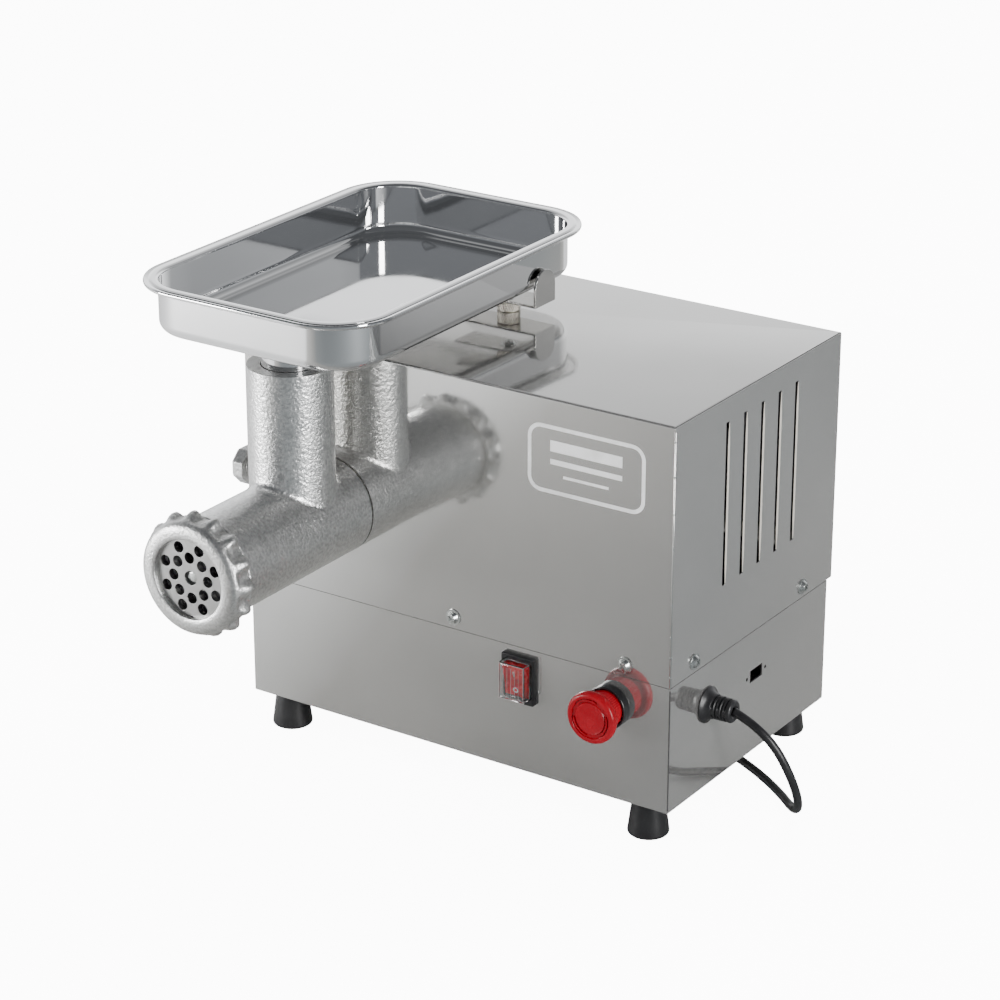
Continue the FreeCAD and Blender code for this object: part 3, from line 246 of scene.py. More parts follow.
def makeCastings():
    # name, darker and lighter colour, roughness from and to, grain height and fineness
    look["head"] = castMetal("castHead", (0.66, 0.66, 0.655), (0.84, 0.84, 0.83), (0.28, 0.36), 0.00048)
    look["nut"] = castMetal("castNut", (0.56, 0.56, 0.55), (0.70, 0.70, 0.69), (0.34, 0.46), 0.00032, 520)
    look["knob"] = castMetal("castKnob", (0.44, 0.44, 0.435), (0.58, 0.58, 0.575), (0.42, 0.55),
                             0.0003, 420)
    look["casting"] = castMetal("gearCasting", (0.12, 0.125, 0.13), (0.22, 0.225, 0.23), (0.45, 0.6))


def makePlastics():
    # name, colour, roughness, grain height, gloss coat and shine
    look["paint"] = plastic("framePaint", (0.06, 0.065, 0.07), 0.4, 0.00006, 0.3)
    look["rubber"] = plastic("footRubber", (0.012, 0.012, 0.013), 0.3, 0.00003)
    look["jacket"] = plastic("leadJacket", (0.010, 0.010, 0.011), 0.36, 0.00003)
    look["black"] = plastic("blackPlastic", (0.008, 0.008, 0.009), 0.2, 0.00001, 0.4)
    look["red"] = plastic("redPlastic", (0.27, 0.002, 0.008), 0.26, 0.00001, 0.0, 0.25)
    look["lens"] = redLens("redLens")
    # the clear cover's ribs and edge rods: a pale pink that paints the red seen through them, and painted
    # highlights on the edges
    look["ribs"] = plastic("hoodRibsAndEdgeHighlights", (0.40, 0.33, 0.33), 0.14, 0.000004, 0.3)
    look["hood"] = clearPlastic("clearHood", (0.97, 0.97, 0.97))
    look["ivory"] = plastic("lightPlastic", (0.62, 0.61, 0.57), 0.45)
    look["mark"] = plastic("whiteMark", (0.82, 0.82, 0.80), 0.5)
    look["shade"] = plastic("jointShade", (0.03, 0.03, 0.03), 0.6)


# pieces worked out on a grid

def gridMesh(name, points, closeU=False, closeV=False, smooth=True):
    # points is an array rows x columns x 3; each cell between four of them becomes one face
    rows, columns = points.shape[:2]
    row = np.arange(rows if closeU else rows - 1)
    column = np.arange(columns if closeV else columns - 1)
    row, column = np.meshgrid(row, column, indexing="ij")
    nextRow, nextColumn = (row + 1) % rows, (column + 1) % columns
    faces = np.stack([row * columns + column, nextRow * columns + column,
                      nextRow * columns + nextColumn, row * columns + nextColumn], -1).reshape(-1, 4)
    mesh = bpy.data.meshes.new(name)
    mesh.from_pydata(points.reshape(-1, 3).tolist(), [], faces.tolist())
    finishMesh(mesh, smooth)
    return mesh


def finishMesh(mesh, smooth=True, sharpAngle=meshSettings["sharp"]):
    # joins doubled points, turns every face outwards and marks the sharp edges
    shape = bmesh.new()
    shape.from_mesh(mesh)
    bmesh.ops.remove_doubles(shape, verts=shape.verts, dist=meshSettings["join"])
    bmesh.ops.dissolve_degenerate(shape, edges=shape.edges, dist=meshSettings["sliver"])
    bmesh.ops.recalc_face_normals(shape, faces=shape.faces)
    shape.to_mesh(mesh)
    shape.free()
    if smooth:
        mesh.shade_smooth()
        mesh.set_sharp_from_angle(angle=math.radians(sharpAngle))


def joinMeshes(name, meshes):
    # one smooth mesh from several closed ones, all turned outwards
    joined = bmesh.new()
    for mesh in meshes:
        joined.from_mesh(mesh)
    bmesh.ops.recalc_face_normals(joined, faces=joined.faces)
    result = bpy.data.meshes.new(name)
    joined.to_mesh(result)
    joined.free()
    result.shade_smooth()
    return result


def lathe(name, profile, centre, axis, segments=96, wave=None, closed=True):
    # turns (radius, along) pairs about an axis; wave gives radius changes by angle and row
    profile = np.array(profile, float)
    turn = np.linspace(0, 2 * math.pi, segments, endpoint=False)
    radius = np.repeat(profile[:, :1], segments, 1)
    if wave is not None:
        radius = radius + wave(turn[None, :], profile[:, 1:2], profile[:, :1])
    along = np.repeat(profile[:, 1:], segments, 1)
    first, second = radius * np.cos(turn), radius * np.sin(turn)
    order = {"x": (along, first, second), "y": (first, along, second), "z": (first, second, along)}
    points = np.stack(order[axis], -1) + np.array(centre)
    return gridMesh(name, points, closeU=closed, closeV=True)


def copyNode(name, node, material, bevel=0.0, segments=2, sharpAngle=meshSettings["sharp"]):
    # a CAD node's own shape with joined, smoothly shaded faces and softened edges
    mesh = frame["nodes"][node].data.copy()
    mesh.name = name
    mesh.materials.clear()
    mesh.materials.append(look[material])
    shape = bmesh.new()
    shape.from_mesh(mesh)
    bmesh.ops.remove_doubles(shape, verts=shape.verts, dist=meshSettings["join"])
    bmesh.ops.dissolve_limit(shape, angle_limit=math.radians(meshSettings["flat"]), verts=shape.verts,
                             edges=shape.edges)
    shape.to_mesh(mesh)
    shape.free()
    mesh.shade_smooth()
    mesh.set_sharp_from_angle(angle=math.radians(sharpAngle))
    piece = addObject(name, mesh)
    if bevel:
        soften = piece.modifiers.new("soften", "BEVEL")
        soften.width = bevel
        soften.segments = segments
        soften.limit_method = "ANGLE"
        soften.angle_limit = math.radians(sharpAngle)
        soften.harden_normals = True
    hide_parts(node)
    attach(piece, frame["nodes"][node]["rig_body"])
    return piece


def paint(node, material):
    # gives a CAD node that stays as it is one of the looks
    target = frame["nodes"][node]
    target.data.materials.clear()
    target.data.materials.append(look[material])


def addPiece(name, mesh, material, body, *nodes):
    # a shape worked out here, riding on a body, in place of the nodes named
    mesh.materials.append(look[material])
    piece = addObject(name, mesh)
    if nodes:
        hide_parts(*nodes)
    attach(piece, body)
    return piece


# lead

leadSettings = {
    "diameter": 0.0066, "coilTurns": 4,
    "free": [(0.2247, 0.0193, 0.0945), (0.240, 0.0194, 0.0897), (0.2575, 0.022, 0.0745),
             (0.2665, 0.028, 0.053), (0.269, 0.037, 0.032), (0.264, 0.049, 0.014),
             (0.252, 0.063, 0.0044), (0.234, 0.079, 0.0036), (0.213, 0.094, 0.0036),
             (0.189, 0.108, 0.0036), (0.162, 0.121, 0.0036), (0.133, 0.134, 0.0036),
             (0.105, 0.150, 0.0036), (0.081, 0.171, 0.0036), (0.063, 0.197, 0.0036),
             (0.053, 0.228, 0.0036), (0.0488, 0.258, 0.0036)],
    "coilCentre": (0.088, 0.288), "coilRadii": (0.0396, 0.0329, 0.0333, 0.0396),
    "coilHeights": (0.0036, 0.0036, 0.0104, 0.0104), "perTurn": 16,
    "tail": [(0.0484, 0.300, 0.0102), (0.0484, 0.316, 0.0108), (0.0478, 0.333, 0.0126),
             (0.0474, 0.349, 0.0132)]}


def coilPoints():
    # clockwise turns seen from above; radius and height pass smoothly from one turn to the next
    turns, perTurn = leadSettings["coilTurns"], leadSettings["perTurn"]
    step = np.arange(turns * perTurn + 1) / perTurn
    stations = np.repeat(np.arange(turns), 2) + np.tile([0.0, 0.8], turns)
    ease = lambda values: np.interp(step, stations, np.repeat(values, 2))
    radius, height = ease(leadSettings["coilRadii"]), ease(leadSettings["coilHeights"])
    angle = math.pi - 2 * math.pi * step
    centreX, centreY = leadSettings["coilCentre"]
    return np.stack([centreX + radius * np.cos(angle), centreY + radius * np.sin(angle), height], -1)


def addLead():
    points = leadSettings["free"] + [tuple(point) for point in coilPoints()] + leadSettings["tail"]
    curve = bpy.data.curves.new("lead", "CURVE")
    curve.dimensions = "3D"
    spline = curve.splines.new("NURBS")
    spline.points.add(len(points) - 1)
    spline.points.foreach_set("co", np.column_stack([points, np.ones(len(points))]).ravel())
    spline.order_u = 3
    spline.use_endpoint_u = True
    spline.resolution_u = 6
    curve.bevel_depth = leadSettings["diameter"] / 2
    curve.bevel_resolution = 5
    curve.use_fill_caps = True
    curve.materials.append(look["jacket"])
    lead = addObject("mainsLead", curve)
    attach(lead, "cabinet")
    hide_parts("mains_lead", "lead_coil", "lead_tail")
    return lead


print("camera and lead")
makeSteels()
makeCastings()
makePlastics()
addCamera()
lead = addLead()


# cabinet

cabinetSettings = {"edge": 0.00035, "screwEdge": 0.00018, "footEdge": 0.0004}


def addCabinet():
    copyNode("cabinetCover", "top_cover", "sheet", cabinetSettings["edge"])
    copyNode("cabinetBase", "base_pan", "sheet", cabinetSettings["edge"])
    copyNode("coverScrews", "cover_screws", "zinc", cabinetSettings["screwEdge"])
    for corner in ("front_left", "front_right", "rear_left", "rear_right"):
        copyNode("foot_" + corner, "rubber_foot_" + corner, "rubber", cabinetSettings["footEdge"], 3)


addCabinet()
print("cabinet")


# ring nut

nutSettings = {"ribs": 15, "firstRib": -1, "ribWidth": 6.2, "valley": 0.0418, "bore": 0.0385,
               "window": 0.0300, "windowDepth": 0.0044, "ribStart": 0.0079, "ribEnd": 0.0198,
               "depths": (0.0042, 0.0070, 0.0110, 0.0145, 0.0180, 0.0198),
               "flares": (0.0, 0.0022, 0.0046, 0.0056, 0.0052, 0.0)}


def addRingNut():
    # a round front flange, then ribs that flare out towards the back over a plain waist
    low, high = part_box("ring_nut")
    front, back = low.y, high.y
    centre = boxCentre("ring_nut")
    waist, bore = nutSettings["valley"], nutSettings["bore"]
    window, windowDepth = nutSettings["window"], nutSettings["windowDepth"]
    ribStart, ribEnd, collar = nutSettings["ribStart"], nutSettings["ribEnd"], waist + 0.0006
    outside = [(window, windowDepth), (window, 0.0014), (0.0304, 0.0005), (0.0313, 0.0001), (0.0335, 0.0),
               (0.0370, 0.0002), (0.0400, 0.0010), (0.0419, 0.0023), (0.0428, 0.0040),
               (0.0427, 0.0056), (0.0420, 0.0068), (waist, ribStart)]
    ribbed = [(waist, ribStart + 0.0008 * step) for step in range(1, 15)]
    inside = [(collar, ribEnd), (collar, 0.0204), (waist, back - front), (bore, back - front),
              (bore, windowDepth)]
    ribAngle = 2 * math.pi / nutSettings["ribs"]

    def ribs(turn, along, radius):
        # a rounded bump at each rib, as tall as the flare at that depth
        away = (turn + math.radians(-nutSettings["firstRib"])) / ribAngle
        away = np.abs(away - np.round(away)) * math.degrees(ribAngle) / nutSettings["ribWidth"]
        flare = np.interp(along, nutSettings["depths"], nutSettings["flares"])
        return np.exp(-away ** 2.8) * flare * (radius > bore + 0.001)

    mesh = lathe("ringNut", outside + ribbed + inside, (centre.x, front, centre.z), "y", 360, ribs)
    addPiece("ringNut", mesh, "nut", "ring_nut", "ring_nut")


# grinding head

pinSettings = {"dome": 0.0011, "groove": 0.0009}
headSettings = {"edge": 0.0005, "sharp": 40, "faceInner": 0.0218, "faceOuter": 0.0314,
                "faceThickness": 0.00005}


def addPin():
    # the screw's front pin: a low dome inside a shallow groove, as seen through the plate
    low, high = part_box("screw_pin")
    centre = boxCentre("screw_pin")
    radius, dome, groove = (high.x - low.x) / 2, pinSettings["dome"], pinSettings["groove"]
    rise = np.linspace(0, 1, 7)
    inner = radius - groove * 1.6
    profile = [(max(pole, inner * share), dome * 0.25 * share ** 2) for share in rise]
    profile += [(radius - groove * 1.2, dome * 0.5), (radius - groove, dome * 1.8),
                (radius - groove * 0.3, dome * 2.0), (radius, dome * 2.0), (radius, high.y - low.y),
                (pole, high.y - low.y)]
    mesh = lathe("screwPin", profile, (centre.x, low.y, centre.z), "y", 64, closed=False)
    addPiece("screwPin", mesh, "zinc", "auger", "screw_pin")


def addHead():
    edge = headSettings["edge"]
    copyNode("headCasting", "head_casting", "head", edge, 2, headSettings["sharp"])
    copyNode("grindingPlate", "grinding_plate", "plate", edge, 3)
    addPin()
    copyNode("knifeBlades", "knife", "plate")
    copyNode("feedScrew", "feed_screw", "plate")
    addRingNut()
    # the turned face on top of the neck
    spout = boxCentre("pan_spout")
    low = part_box("head_casting")[1].z
    high = low + headSettings["faceThickness"]
    inner, outer = headSettings["faceInner"], headSettings["faceOuter"]
    profile = [(inner, low), (outer, low), (outer, high), (inner, high)]
    mesh = lathe("neckFace", profile, (spout.x, spout.y, 0), "z", 96)
    addPiece("neckFace", mesh, "plate", "head")


# feed pan

panSettings = {"corner": 0.050, "wall": 0.0105, "gauge": 0.001, "bead": 0.0023, "round": 0.008,
               "lip": 0.0024, "cornerSteps": 20, "sideSteps": 8, "hole": 0.0211, "dip": 0.0008,
               "spoutInner": 0.0194, "spoutOuter": 0.0209, "turned": 0.0003}


def panOutline(inset):
    # a rounded rectangle: straight sides and quarter circles, all at one distance inside the rim
    low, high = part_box("feed_pan")
    corner = panSettings["corner"]
    reach = corner - inset
    quarter = np.linspace(0, rightAngle, panSettings["cornerSteps"])
    points = []
    centres = [(high.x - corner, low.y + corner, -rightAngle), (high.x - corner, high.y - corner, 0),
               (low.x + corner, high.y - corner, rightAngle), (low.x + corner, low.y + corner, math.pi)]
    arcs = [np.stack([x + reach * np.cos(quarter + start), y + reach * np.sin(quarter + start)], -1)
            for x, y, start in centres]
    share = np.linspace(0, 1, panSettings["sideSteps"] + 2)[1:-1, None]
    for arc, following in zip(arcs, arcs[1:] + arcs[:1]):
        points += [arc, arc[-1] * (1 - share) + following[0] * share]
    return np.concatenate(points)


def panSection():
    # (inset, height) pairs: up the inside wall, over the rim and its bead, down the outside wall
    low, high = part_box("feed_pan")
    wall, gauge, bead, curl = (panSettings[part] for part in ("wall", "gauge", "bead", "round"))
    bottom, beadHeight = low.z, high.z - bead
    flange = beadHeight + 0.0008 + gauge
    bend = np.linspace(0, rightAngle, 9)
    inner, outer = curl - gauge, curl
    lip = panSettings["lip"]
    section = list(zip(wall + gauge + inner * (1 - np.sin(bend)),
                       bottom + gauge + inner * (1 - np.cos(bend))))
    section += [(wall + gauge, height)
                for height in np.linspace(bottom + curl + 0.002, flange - lip - 0.001, 6)]
    section += list(zip(wall + gauge - lip * (1 - np.cos(bend)), flange - lip * (1 - np.sin(bend))))
    section += [(inset, flange) for inset in np.linspace(wall + gauge - lip - 0.001, 2 * bead + 0.0004, 3)]
    around = np.linspace(math.radians(42), math.radians(-222), 22)
    section += list(zip(bead + bead * np.cos(around), beadHeight + bead * np.sin(around)))
    under = flange - gauge
    section += [(inset, under) for inset in np.linspace(2 * bead + 0.0006, wall - lip * 0.6, 3)]
    section += list(zip(wall - lip * 0.6 * np.cos(bend), under - lip * 0.6 * np.sin(bend)))[1:]
    section += [(wall, height) for height in np.linspace(under - lip, bottom + curl + 0.001, 6)]
    section += list(zip(wall + outer * (1 - np.cos(bend)), bottom + outer * (1 - np.sin(bend))))
    return section


def addPan():
    low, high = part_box("feed_pan")
    spout = boxCentre("pan_spout")
    gauge, hole = panSettings["gauge"], panSettings["hole"]
    section = panSection()
    rows = [np.column_stack([panOutline(inset), np.full(len(panOutline(inset)), height)])
            for inset, height in section]

    def floorRows(edge, height):
        # from the rim of the hole out to the flat floor's edge, along straight rays
        middle = np.array([spout.x, spout.y])
        ray = edge[:, :2] - middle
        ray = ray / np.linalg.norm(ray, axis=1)[:, None]
        rim = middle + ray * hole
        shares = (0, 0.02, 0.06, 0.14, 0.3, 0.5, 0.75, 0.92)
        dip = np.exp(-np.array(shares) * 55) * panSettings["dip"]
        return [np.column_stack([rim * (1 - share) + edge[:, :2] * share,
                                 np.full(len(edge), height - drop)]) for share, drop in zip(shares, dip)]

    inside = floorRows(rows[0], low.z + gauge)
    outside = floorRows(rows[-1], low.z)[::-1]
    for row in outside:
        row[:, 2] = low.z
    mesh = gridMesh("feedPan", np.stack(inside + rows + outside), closeU=True, closeV=True)
    addPiece("feedPan", mesh, "pan", "pan", "feed_pan")
    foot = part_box("pan_spout")[0].z
    inner, outer, turned = (panSettings[part] for part in ("spoutInner", "spoutOuter", "turned"))
    profile = [(inner, foot + turned), (inner + turned, foot), (outer - turned, foot),
               (outer, foot + turned), (outer, low.z + 0.0002), (hole, low.z + 0.0002),
               (hole, low.z + 0.0003), (inner + turned * 2, low.z - 0.0004), (inner, low.z - 0.002)]
    mesh = lathe("panSpout", profile, (spout.x, spout.y, 0), "z", 128)
    addPiece("panSpout", mesh, "pan", "pan", "pan_spout")


# stay

staySettings = {"knurls": 34, "slant": 1500, "ridge": 0.00012, "rows": 26, "rowStep": 0.00035,
                "bore": 0.0032, "edge": 0.0004, "screwEdge": 0.0002}


def addStay():
    copyNode("panStay", "pan_stay", "stay", staySettings["edge"], 3)
    copyNode("stayScrew", "stay_screw", "zinc", staySettings["screwEdge"])
    low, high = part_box("stay_post")
    centre = (low + high) / 2
    radius = (high.x - low.x) / 2
    profile = [(radius - 0.0008, low.z), (radius - 0.0004, low.z + 0.0003)]
    profile += [(radius - 0.0002, low.z + 0.0006 + step * staySettings["rowStep"])
                for step in range(staySettings["rows"])]
    bore = staySettings["bore"]
    profile += [(radius - 0.0008, high.z), (bore, high.z), (bore, low.z)]
    edge = radius - 0.0003

    def knurl(turn, along, radius):
        # two crossing sets of slanted ridges
        around, climb = staySettings["knurls"] * turn, (along - low.z) * staySettings["slant"]
        return (np.cos(around + climb) + np.cos(around - climb)) * staySettings["ridge"] * (radius > edge)

    mesh = lathe("stayPost", profile, (centre.x, centre.y, 0), "z", 240, knurl)
    addPiece("stayPost", mesh, "post", "cabinet", "stay_post")


# switches

rockerSettings = {"tilt": 12, "face": 0.0048, "pivotDepth": 0.002, "markHeight": 0.0072,
                  "markDepth": 0.00018, "barWide": 0.0006, "barTall": 0.0026, "ring": 0.0023,
                  "hollow": 0.6, "sides": 32, "housingEdge": 0.0011, "paddleEdge": 0.0008}
hoodSettings = {"ribs": 5, "rib": 0.00013, "edge": 0.0002, "inset": 0.003, "backGap": 0.0004,
                "sides": 8}


def addHoodRibs():
    # moulded uprights on the clear cover, in an opaque pale pink that paints the red seen through them,
    # and rods along its edges that paint the highlights on them
    low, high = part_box("rocker_hood")
    rib, edge = hoodSettings["rib"], hoodSettings["edge"]
    inset, sides = hoodSettings["inset"], hoodSettings["sides"]
    ribDepth = low.y + rib * 0.6
    ribPlaces = low.x + (high.x - low.x) * np.linspace(0.2, 0.8, hoodSettings["ribs"])
    bars = [((across, ribDepth, low.z + inset), (across, ribDepth, high.z - inset), rib)
            for across in ribPlaces]
    left, right, front = low.x + edge * 2, high.x - edge * 2, low.y + edge * 2
    bottom, top, back = low.z + edge * 2, high.z - edge * 2, high.y - hoodSettings["backGap"]
    edges = [((right, front, bottom), (right, front, top)), ((left, front, bottom), (left, front, top)),
             ((left, front, bottom), (right, front, bottom)), ((left, front, top), (right, front, top)),
             ((right, front, top), (right, back, top)), ((right, front, bottom), (right, back, bottom))]
    bars += [(start, end, edge) for start, end in edges]
    shapes = []
    around = np.linspace(0, 2 * math.pi, sides, endpoint=False)
    # each bar's ends are drawn in, so that they come out rounded and closed
    stops = [(0.0, 0.02), (0.0, 0.8), (0.015, 1.0), (0.985, 1.0), (1.0, 0.8), (1.0, 0.02)]
    for start, end, radius in bars:
        start, end = np.array(start), np.array(end)
        run = int(np.argmax(np.abs(end - start)))
        across = [axis for axis in range(3) if axis != run]
        ringPoints = np.zeros((sides, 3))
        ringPoints[:, across[0]] = np.cos(around)
        ringPoints[:, across[1]] = np.sin(around)
        rings = np.stack([start + (end - start) * share + ringPoints * radius * part
                          for share, part in stops])
        shapes.append(gridMesh("bar", rings, closeV=True))
    addPiece("hoodRibsAndEdgeHighlights", joinMeshes("hoodRibsAndEdgeHighlights", shapes), "ribs", "cabinet")


def addRocker():
    copyNode("rockerHousing", "rocker_housing", "black", rockerSettings["housingEdge"], 3)
    copyNode("rockerPaddle", "rocker_paddle", "lens", rockerSettings["paddleEdge"], 3)
    copyNode("rockerHood", "rocker_hood", "hood", 0.0)
    addHoodRibs()
    low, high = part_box("rocker_paddle")
    centre = Vector(((low.x + high.x) / 2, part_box("base_pan")[0].y - rockerSettings["pivotDepth"],
                     boxCentre("rocker_housing").z))
    turn = math.radians(rockerSettings["tilt"])

    def onPaddle(across, up, out):
        # paddle coordinates at mid-travel, turned to the way that it lies at rest
        depth = -rockerSettings["face"] - out
        return np.stack([centre.x + across, centre.y + depth * math.cos(turn) - up * math.sin(turn),
                         centre.z + depth * math.sin(turn) + up * math.cos(turn)], -1)

    around = np.linspace(0, 2 * math.pi, rockerSettings["sides"], endpoint=False)
    height, depth, hollow = (rockerSettings[part] for part in ("markHeight", "markDepth", "hollow"))
    marks = (("markOn", height, rockerSettings["barWide"], rockerSettings["barTall"]),
             ("markOff", -height, rockerSettings["ring"], rockerSettings["ring"]))
    for name, middle, wide, tall in marks:
        rings = []
        for scale, out in ((1, 0.0), (1, depth), (hollow, depth), (hollow, 0.0)):
            rings.append(onPaddle(np.cos(around) * wide * scale, middle + np.sin(around) * tall * scale,
                                  np.full(len(around), out)))
        mesh = gridMesh(name, np.stack(rings), closeU=True, closeV=True)
        addPiece(name, mesh, "mark", "rocker")


stopSettings = {"knurls": 54, "ridge": 0.00022, "skirt": 0.0144, "bore": 0.00755, "wall": 0.0034,
                "arcs": 3, "arcRadius": 0.0141, "arcSpan": 74, "arcStart": 0.35, "steps": 25,
                "collarEdge": 0.0007, "stemEdge": 0.0003}


def addStopButton():
    copyNode("stopCollar", "stop_collar", "black", stopSettings["collarEdge"], 3)
    copyNode("stopStem", "stop_stem", "black", stopSettings["stemEdge"])
    low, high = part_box("stop_cap")
    centre = boxCentre("stop_cap")
    face, back = low.y, high.y
    skirt, bore, wall = (stopSettings[part] for part in ("skirt", "bore", "wall"))
    profile = [(pole, 0.0011), (0.006, 0.00105), (0.0105, 0.0009), (0.0120, 0.0005), (0.0126, 0.0014),
               (0.0152, 0.0014), (0.0158, 0.0003), (0.0168, 0.00005), (0.0180, 0.0002), (0.0191, 0.0009),
               (0.0198, 0.0021), (0.0200, 0.0036), (0.0199, 0.0054), (0.0193, 0.0070), (0.0182, 0.0080),
               (0.0165, 0.0084), (0.0150, 0.0086), (skirt - 0.0002, 0.0093)]
    profile += [(skirt - 0.0001, 0.0098 + 0.0011 * step) for step in range(10)]
    profile += [(skirt - 0.0006, back - face), (bore, back - face), (bore, wall), (pole, wall)]

    def knurl(turn, along, radius):
        # upright ridges round the skirt only
        onSkirt = (along > 0.0095) & (along < 0.0202) & (radius > skirt - 0.0006)
        return np.cos(stopSettings["knurls"] * turn) * stopSettings["ridge"] * onSkirt

    mesh = lathe("stopCap", profile, (centre.x, face, centre.z), "y", 324, knurl, closed=False)
    addPiece("stopCap", mesh, "red", "stop_cap", "stop_cap")
    # three raised arcs with arrow heads that say which way to turn
    reach = math.radians(stopSettings["arcSpan"])
    for number in range(stopSettings["arcs"]):
        start = number * 2 * math.pi / stopSettings["arcs"] + stopSettings["arcStart"]
        share = np.linspace(0, 1, stopSettings["steps"])
        half = np.interp(share, [0, 0.04, 0.78, 0.79, 1.0], [0.0001, 0.00055, 0.00055, 0.00115, 0.00002])
        ring = stopSettings["arcRadius"]
        turn = start - share * reach
        rings = []
        for side, lift in ((-1, 0.0016), (-0.8, 0.0003), (0.8, 0.0003), (1, 0.0016)):
            radius = ring + side * half
            rings.append(np.stack([centre.x + radius * np.cos(turn), np.full(len(share), face + lift),
                                   centre.z + radius * np.sin(turn)], -1))
        mesh = gridMesh("turnArrow%d" % (number + 1), np.stack(rings), closeU=True)
        addPiece("turnArrow%d" % (number + 1), mesh, "red", "stop_cap")


# gland

glandSettings = {"bore": 0.00332, "slotStart": 0.0072, "pitch": 0.0026, "slots": 5, "slotDepth": 0.0014,
                 "rows": 33, "rowStep": 0.0004}


def addGland():
    low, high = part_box("cable_gland")
    centre = boxCentre("cable_gland")
    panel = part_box("base_pan")[1].x
    bore, slotStart, pitch = (glandSettings[part] for part in ("bore", "slotStart", "pitch"))
    tail = high.x - panel
    profile = [(bore, low.x), (0.0079, low.x), (0.0079, panel - 0.0012), (0.0136, panel + 0.0001),
               (0.0140, panel + 0.0004), (0.0140, panel + 0.0011), (0.0137, panel + 0.0015),
               (0.0122, panel + 0.0024), (0.0108, panel + 0.0038), (0.0099, panel + 0.0056),
               (0.0095, panel + 0.0070)]
    # the body narrows a little over its slotted length
    profile += [(0.0092 - 0.0004 * step / 32, panel + slotStart + glandSettings["rowStep"] * step)
                for step in range(glandSettings["rows"])]
    profile += [(0.0088, panel + 0.0207), (0.0086, panel + tail - 0.0012), (0.0080, panel + tail - 0.0004),
                (0.0070, panel + tail), (0.0050, panel + tail), (0.0044, panel + tail - 0.0006),
                (bore, panel + tail - 0.0012)]

    def slots(turn, along, radius):
        # five grooves round the body, each left solid at two places, turned from one to the next
        depth = (along - panel - slotStart) / pitch
        groove = np.clip(0.5 - 1.9 * np.cos(2 * math.pi * depth), 0, 1)
        bridge = np.clip(3.2 * np.abs(np.sin(turn + np.floor(depth) * rightAngle)) - 0.5, 0, 1)
        onBody = (depth > 0) & (depth < glandSettings["slots"]) & (radius > 0.0085)
        return -groove * bridge * glandSettings["slotDepth"] * onBody

    mesh = lathe("cableGland", profile, (0, centre.y, centre.z), "x", 96, slots)
    return addPiece("cableGland", mesh, "jacket", "cabinet", "cable_gland")


# front corner joint, painted shade along the folds and a plain badge

jointSettings = {"bead": 0.0007, "fold": 0.0005, "baseShare": 0.7, "baseGap": 0.003, "lap": 0.021,
                 "tackWide": 0.0009, "tackTall": 0.0014,
                 "tacks": (0.137, 0.152, 0.168, 0.193, 0.236, 0.262, 0.290, 0.316)}


def addCornerJoint():
    # a thin welded line up the front right corner, with a small bright tack here and there,
    # and dark rods along the cover's top edges that paint the dark reflection on its folds
    low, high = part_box("top_cover")
    radius = jointSettings["bead"]
    profile = [(pole, low.z), (radius * 0.8, low.z), (radius, low.z + 0.0005),
               (radius, high.z - 0.004), (pole, high.z - 0.003)]
    corner = (high.x - 0.0002, low.y + 0.0002, 0)
    addPiece("cornerJoint", lathe("cornerJoint", profile, corner, "z", 12, closed=False), "stay", "cabinet")
    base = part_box("base_pan")
    start, end = base[0].z + jointSettings["baseGap"], base[1].z - jointSettings["lap"]
    radius = radius * jointSettings["baseShare"]
    profile = [(pole, start), (radius, start), (radius, end), (pole, end)]
    addPiece("baseJoint", lathe("baseJoint", profile, corner, "z", 12, closed=False), "shade", "cabinet")
    # dark rods that paint the shade along the cover's front and side folds
    fold = jointSettings["fold"]
    foldHeight = high.z - fold / 2
    folds = (("frontFoldShade", "x", low.x, high.x, (0, low.y + fold / 2, foldHeight)),
             ("sideFoldShade", "y", low.y, high.y, (high.x - fold / 2, 0, foldHeight)))
    for name, axis, start, end, place in folds:
        profile = [(pole, start + 0.001), (fold, start + 0.0015), (fold, end - 0.0015),
                   (pole, end - 0.001)]
        addPiece(name, lathe(name, profile, place, axis, 12, closed=False), "paintedFoldShade", "cabinet")
    tacks = []
    turn, rise = np.meshgrid(np.linspace(0, 2 * math.pi, 9)[:-1], np.linspace(-rightAngle, rightAngle, 6))
    for height in jointSettings["tacks"]:
        across = np.cos(rise) * jointSettings["tackWide"]
        blob = np.stack([across * np.cos(turn), across * np.sin(turn),
                         np.sin(rise) * jointSettings["tackTall"]], -1)
        tacks.append(gridMesh("tack", blob + np.array([corner[0], corner[1], height]), closeV=True))
    addPiece("cornerTacks", joinMeshes("cornerTacks", tacks), "zinc", "cabinet")


badgeSettings = {"centre": (0.129, 0.281), "size": (0.098, 0.052), "line": 0.0030, "corner": 0.011,
                 "bars": ((0.0105, 0.060, 0.0085), (-0.0015, 0.060, 0.0040), (-0.0115, 0.038, 0.0022))}


